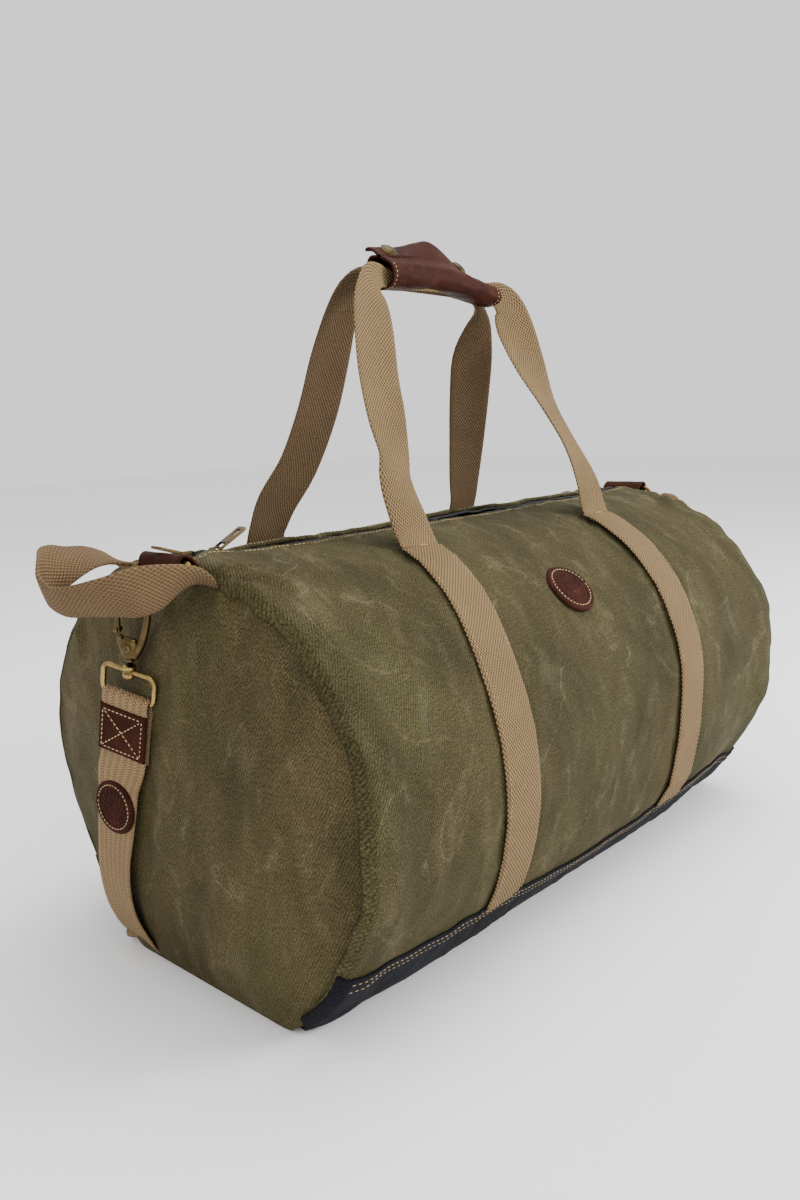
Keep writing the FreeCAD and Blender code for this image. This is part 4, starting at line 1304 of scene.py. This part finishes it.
def hung_along(direction, end=LEFT):
    """A direction drawn in the hanging frame."""
    return hung(direction, end) - hung((0, 0, 0), end)


def round_corners(corners, radius, steps=8):
    """Closed path through corners with rounded turns, its points no more than 8 mm apart."""
    corners = np.asarray(corners, float)
    out = []
    for i, c in enumerate(corners):
        a = unit(corners[i - 1] - c)
        b = unit(corners[(i + 1) % len(corners)] - c)
        for t in np.linspace(0, 1, steps + 1):
            out.append(c + a * radius * (1 - t) ** 2 + b * radius * t ** 2)
    dense = []
    for p, q in zip(out, out[1:] + out[:1]):
        pieces = max(1, int(np.linalg.norm(q - p) / 4))
        dense += [p + (q - p) * t for t in np.arange(pieces) / pieces]
    return np.array(dense)


def bent_wire(stations, per, end):
    """Brass wire through (y, z, radius) stations in the hanging frame."""
    path = catmull([[0, *row] for row in stations], per)
    return tube("wire", hung(path[:, :3], end), path[:, 3], BRASS)


# Wires as (y, z, radius) in the hanging frame, and turned pieces as (radius, height)
HOOK_BOW = [
    (-3.4, -51.0, 3.0), (-6.4, -45.0, 2.9), (-9.2, -38.0, 2.6), (-11.3, -28.0, 2.25), (-12.2, -16.0, 2.05),
    (-11.4, -5.0, 2.0), (-7.6, 3.2, 2.1), (0, 6.4, 2.2), (7.4, 3.4, 2.1), (10.9, -3.0, 1.9),
    (11.3, -6.4, 1.6),
]
HOOK_HEEL = [(2.6, -51.5, 2.9), (6.0, -46.0, 2.8), (8.6, -41.5, 2.3), (9.9, -39.4, 1.6)]
# Heel block of the hook: height, half-width along y, half-width along x
HOOK_BLOCK = [(-39.5, 4.6, 2.2), (-42.0, 6.2, 2.9), (-46.0, 6.7, 3.3), (-50.0, 5.6, 3.3), (-53.0, 3.6, 2.9),
              (-54.2, 1.6, 1.8)]
RIVET = [(2.9, 0), (2.9, 0.5), (2.3, 1.1), (0.9, 1.35), (0.1, 1.35)]
POST = [(0.1, 0), (3.1, 0.2), (3.4, 0.9), (3.1, 1.8), (2.0, 2.1), (2.0, 12.6), (3.2, 13.0), (3.2, 14.4),
        (0.1, 14.6)]
GATE_ARM = [(10.2, -37.6, 1.9), (11.2, -34.0, 1.9), (11.6, -24.0, 1.55), (11.4, -12.0, 1.45),
            (11.25, -7.6, 1.35)]
GATE_PIN = [(0.1, -0.4), (1.5, -0.2), (1.7, 0.3), (1.7, 5.5), (1.5, 6.0), (0.1, 6.2)]
FRAME_BOSS = [(2.1, 0), (4.0, 0.1), (4.4, 0.7), (4.4, 2.4), (3.9, 3.0), (3.9, 5.6), (4.4, 6.2), (4.4, 7.6),
              (4.0, 8.2), (2.1, 8.3)]
FRAME_WIRE, FRAME_CORNER = 1.85, 6.5


def hook_block(end):
    """Rounded block that the hook's two wires grow out of."""
    turn = np.arange(24) * 2 * math.pi / 24
    cos, sin = np.cos(turn), np.sin(turn)
    rings = []
    for z, hy, hx in HOOK_BLOCK:
        x = hx * np.sign(cos) * np.abs(cos) ** 0.6
        y = 0.6 + hy * np.sign(sin) * np.abs(sin) ** 0.8
        rings.append(hung(np.stack([x, y, z + 0 * turn], -1), end))
    faces = quads(len(rings), len(turn), close_cols=True) + end_caps(len(rings), len(turn))
    return fix_normals(make("block", np.concatenate(rings), faces, BRASS))


def hook(end):
    """Snap hook: bowed eye that thickens towards its heel, heel with rivet, swivel post."""
    parts = [bent_wire(HOOK_BOW, 7, end), bent_wire(HOOK_HEEL, 6, end), hook_block(end)]
    for side in (-1, 1):
        base = hung((side * 2.9, 0.4, -46.0), end)
        parts.append(lathe("rivet", RIVET, base, hung_along((side, 0, 0), end), BRASS, 24))
    foot = hung((0, 0, -68.0), end)
    parts.append(lathe("post", POST, foot, hung((0, 0, -52.0), end) - foot, BRASS, 24))
    obj = join(f"hook_body_{ENDS[end]}", parts)
    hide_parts(f"snap_hook_{ENDS[end]}")
    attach(obj, f"hook_{ENDS[end]}")


def gate(end):
    """Sprung arm that closes the hook, with its pivot pin."""
    a, b = hung((-2.9, 11.0, -36.0), end), hung((2.9, 11.0, -36.0), end)
    pin = lathe("pin", GATE_PIN, a, b - a, BRASS, 20)
    obj = join(f"gate_arm_{ENDS[end]}", [bent_wire(GATE_ARM, 6, end), pin])
    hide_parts(f"hook_gate_{ENDS[end]}")
    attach(obj, f"gate_{ENDS[end]}")


def strap_frame(end):
    """Rectangular wire frame, with the boss that the hook's post turns in."""
    corners = [(0, y, z) for y, z in ((-20.9, -62.5), (20.9, -62.5), (20.9, -82.5), (-20.9, -82.5))]
    path = round_corners(corners, FRAME_CORNER)
    wire = tube("wire", hung(path, end), FRAME_WIRE, BRASS_BRIGHT, closed=True)
    low = hung((0, 0, -66.7), end)
    boss = lathe("boss", FRAME_BOSS, low, hung((0, 0, 0), end) - low, BRASS_BRIGHT, 28)
    obj = join(f"frame_wire_{ENDS[end]}", [wire, boss])
    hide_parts(f"strap_frame_{ENDS[end]}")
    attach(obj, f"strap_end_{ENDS[end]}")


for end in ENDS:
    hook(end)
    gate(end)
    strap_frame(end)


# ---------------------------------------------------------------- shoulder strap

RUN_X, RUN_Y, RUN_Z = 241.5, 156.0, 26.6    # the stretch that stands on its edge behind the bag
RUN_LEAN = math.radians(22)

# Doubled end of the strap round the frame's bar, as x and z in the hanging frame
DOUBLED = [
    (1.7, -128), (1.7, -114), (1.9, -100), (2.6, -91), (3.5, -84.5), (2.6, -80.6), (0, -79.3),
    (-2.6, -80.6), (-3.5, -84.5), (-2.7, -91), (-2.0, -100), (-1.8, -114), (-1.6, -128),
]
# The strap from there, down the bag's end and away behind it
STRAP_DOWN = [
    ((-303.0, 50.0, 148.0), (-0.22, 1, 0.30), 39, 0.0),
    ((-302.5, 55.0, 130.0), (-0.14, 1, 0.30), 39, 0.0),
    ((-301.5, 62.0, 112.0), (-0.07, 1, 0.30), 41, 0.0),
    ((-300.5, 69.5, 90.0), (0, 1, 0.22), 41, 0.3),
    ((-299.0, 75.0, 64.0), (0.02, 1, 0.05), 41, 0.8),
    ((-294.5, 77.0, 39.0), (0.06, 1, -0.10), 41, 1.4),
    ((-286.0, 75.0, 17.0), (0.10, 1, -0.12), 41, 1.6),
    ((-276.0, 77.0, 5.2), (0.20, 1, -0.02), 41, 0.8),
    ((-262.0, 88.0, 2.6), (-0.30, 1, 0.06), 41, 0.0),
    ((-250.0, 112.0, 6.0), (-0.80, 0.6, 0.55), 41, 0.6),
    ((-243.0, 138.0, 17.0), (-0.5, 0.0, 1.0), 44, 0.6),
    ((-240, RUN_Y, RUN_Z), (0, -math.sin(RUN_LEAN), math.cos(RUN_LEAN)), 45, 0.0),
]


def strap_side(end):
    """Strap from its doubled end to where it stands behind the bag."""
    across = hung_along((0, 1, 0))
    doubled = [(hung((x, 0, z)), across, 37.5, 0.0) for x, z in DOUBLED]
    packed = pack(doubled + STRAP_DOWN, 5)
    obj = webbing(f"strap_webbing_{ENDS[end]}", packed, STRAP_THICK, STRAP_WEB, steps=16)
    flip_x(obj, end)
    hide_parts(f"strap_end_{ENDS[end]}", f"strap_drop_{ENDS[end]}")
    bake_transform(obj)
    return obj


def strap_run():
    """Strap standing on its edge behind the bag, a little wavy between its ends."""
    x = np.linspace(-RUN_X, RUN_X, 120)
    loose = smooth((240 - np.abs(x)) / 30)
    y = RUN_Y + 0.8 * noise(x / 70, 0.1, 55) * loose
    lean = RUN_LEAN + 0.04 * noise(x / 90, 0.4, 56) * loose
    rows = [x, y, RUN_Z + 0 * x, 0 * x, -np.sin(lean), np.cos(lean), np.full(120, 45.0), 0 * x]
    obj = webbing("strap_webbing_run", np.stack(rows, -1), STRAP_THICK, STRAP_WEB, steps=16)
    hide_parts("shoulder_strap_run")
    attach(obj, "root")


PATCH_Z = -107
PATCH_HALF = (19.4, 17.5)   # along y and along z
PATCH_SEAM = (16, 14)       # the stitched border inside it


def patch_stitches(end):
    """Border and cross of stitches on the leather patch."""
    (y, z), rows = PATCH_SEAM, []
    c = [(-y, PATCH_Z - z), (y, PATCH_Z - z), (y, PATCH_Z + z), (-y, PATCH_Z + z)]
    outward = np.broadcast_to(hung_along((-1, 0, 0)), (30, 3))
    for a, b in [(0, 1), (1, 2), (2, 3), (3, 0), (0, 2), (1, 3)]:
        t = np.linspace(0, 1, 30)
        line = [c[a][i] + (c[b][i] - c[a][i]) * t for i in (0, 1)]
        rows.append((hung(np.stack([-5.25 + 0 * t, *line], -1)), outward))
    name = f"strap_patch_stitching_{ENDS[end]}"
    return stitches(name, rows, THREAD_CREAM, length=2.3, pitch=3.4, radius=0.4)


def patch(end):
    """Leather patch over the doubled end, with a border and a cross of stitches."""
    half_y, half_z = PATCH_HALF
    ys, zs = np.linspace(-half_y, half_y, 44), np.linspace(PATCH_Z - half_z, PATCH_Z + half_z, 40)
    yy, zz = np.meshgrid(ys, zs, indexing="ij")
    q = np.maximum(np.abs(yy) / half_y, np.abs(zz - PATCH_Z) / half_z)
    fat = 1.9 * np.sqrt(np.clip(1 - np.clip((q - 0.93) / 0.07, 0, 1) ** 2, 0.02, 1))
    base = -3.3 - 0.25 * noise(yy / 14, zz / 12, 44)
    layers = [hung(np.stack([x, yy, zz], -1)) for x in (base - fat, base + 0.1)]
    uv = np.stack([yy, zz], -1) * MM
    obj = fix_normals(shell(f"strap_leather_{ENDS[end]}", *layers, LEATHER_DARK, uv))
    for o in (obj, patch_stitches(end)):
        flip_x(o, end)
        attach(o, f"strap_end_{ENDS[end]}")
    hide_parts(f"strap_patch_{ENDS[end]}")


def strap_badge():
    """Roundel on the near strap, lying in the strap's plane."""
    centre = np.array([-303.7, 56.0, 127.0])
    lean = math.atan2(0.30, 1)
    face = math.radians(6)

    def surface(a, b):
        a, b = np.broadcast_arrays(np.asarray(a, float), np.asarray(b, float))
        y = a * math.cos(lean) - b * math.sin(lean)
        z = a * math.sin(lean) + b * math.cos(lean)
        p = np.stack([-y * math.sin(face), y * math.cos(face), z], -1) + centre
        return p, np.broadcast_to([-math.cos(face), -math.sin(face), 0.0], p.shape)

    obj, thread = badge("strap_roundel", surface, 20.0)
    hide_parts("strap_badge_left")
    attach(obj, "strap_end_left")
    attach(thread, "strap_end_left")


for end in ENDS:
    strap_side(end)
    patch(end)
strap_run()
strap_badge()


# ---------------------------------------------------------------- metal parts that keep their CAD shape

def dress(node, material, bevel=0.25):
    """Finishes a CAD node in place."""
    obj = next(o for o in bpy.context.scene.objects if o.get("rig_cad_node") == node)
    obj.data.materials.clear()
    obj.data.materials.append(material)
    if bevel:
        mod = obj.modifiers.new("edge", "BEVEL")
        mod.width = bevel * MM
        mod.segments = 2
        mod.limit_method = "ANGLE"
        mod.angle_limit = math.radians(35)


for node in ("slider_end", "slider_main", "pull_end", "pull_main", "strap_adjuster"):
    dress(node, BRASS)
for end in ENDS:
    dress(f"end_ring_{ENDS[end]}", BRASS_BRIGHT, 0.0)
dress("base_board", BOARD, 0.6)


# ---------------------------------------------------------------- camera, light and floor

FLOOR_HALF = 6000
FLOOR_Z = -0.4              # just under the bag, so that the two don't flicker together


def look(at, azimuth, elevation, roll, distance, lens):
    """Camera turned to a point: angles in degrees, distance in metres, lens in millimetres."""
    a, e, r = [math.radians(v) for v in (azimuth, elevation, roll)]
    back = Vector((math.sin(a) * math.cos(e), -math.cos(a) * math.cos(e), math.sin(e)))
    right = Vector((0, 0, 1)).cross(back).normalized()
    up = back.cross(right)
    turned = right * math.cos(r) + up * math.sin(r)
    upright = up * math.cos(r) - right * math.sin(r)
    cam = bpy.data.objects.new("camera", bpy.data.cameras.new("camera"))
    cam.data.lens = lens
    cam.data.sensor_width = 36.0
    cam.data.clip_start, cam.data.clip_end = 0.05, 50.0
    rows = [(turned[i], upright[i], back[i]) for i in range(3)]
    cam.matrix_world = Matrix.Translation(Vector(at) + back * distance) @ Matrix(rows).to_4x4()
    bpy.context.collection.objects.link(cam)
    bpy.context.scene.camera = cam


def area(name, place, aim, size, power):
    """Soft rectangular lamp aimed at a point."""
    light = bpy.data.lights.new(name, "AREA")
    light.shape = "RECTANGLE"
    light.size, light.size_y = size
    light.energy = power
    obj = bpy.data.objects.new(name, light)
    obj.location = place
    obj.rotation_euler = (Vector(place) - Vector(aim)).to_track_quat("Z", "Y").to_euler()
    bpy.context.collection.objects.link(obj)


def studio():
    """Pale floor, even surroundings and three soft lamps."""
    surface = Nodes("pale_floor").finish((0.93, 0.93, 0.93), 0.95)
    corners = [(x, y, FLOOR_Z) for x, y in ((-1, -1), (1, -1), (1, 1), (-1, 1))]
    floor = make("floor", np.array(corners) * [FLOOR_HALF, FLOOR_HALF, 1], [(0, 1, 2, 3)], surface)
    world = bpy.data.worlds.new("studio")
    world.use_nodes = True
    background = world.node_tree.nodes["Background"]
    background.inputs[0].default_value = (1, 1, 1, 1)
    background.inputs[1].default_value = 1.18
    bpy.context.scene.world = world
    area("overhead", (0.2, -0.2, 1.9), (0, 0, 0.2), (1.5, 1.2), 30)
    area("key", (1.5, -1.85, 1.0), (0, 0, 0.25), (0.9, 0.9), 76)
    area("left", (-1.9, -0.6, 0.9), (-0.2, 0, 0.2), (1.0, 1.0), 8)


look((-0.065, 0, 0.238), -47.15, 10.73, -2.45, 0.801, 29.7)
studio()
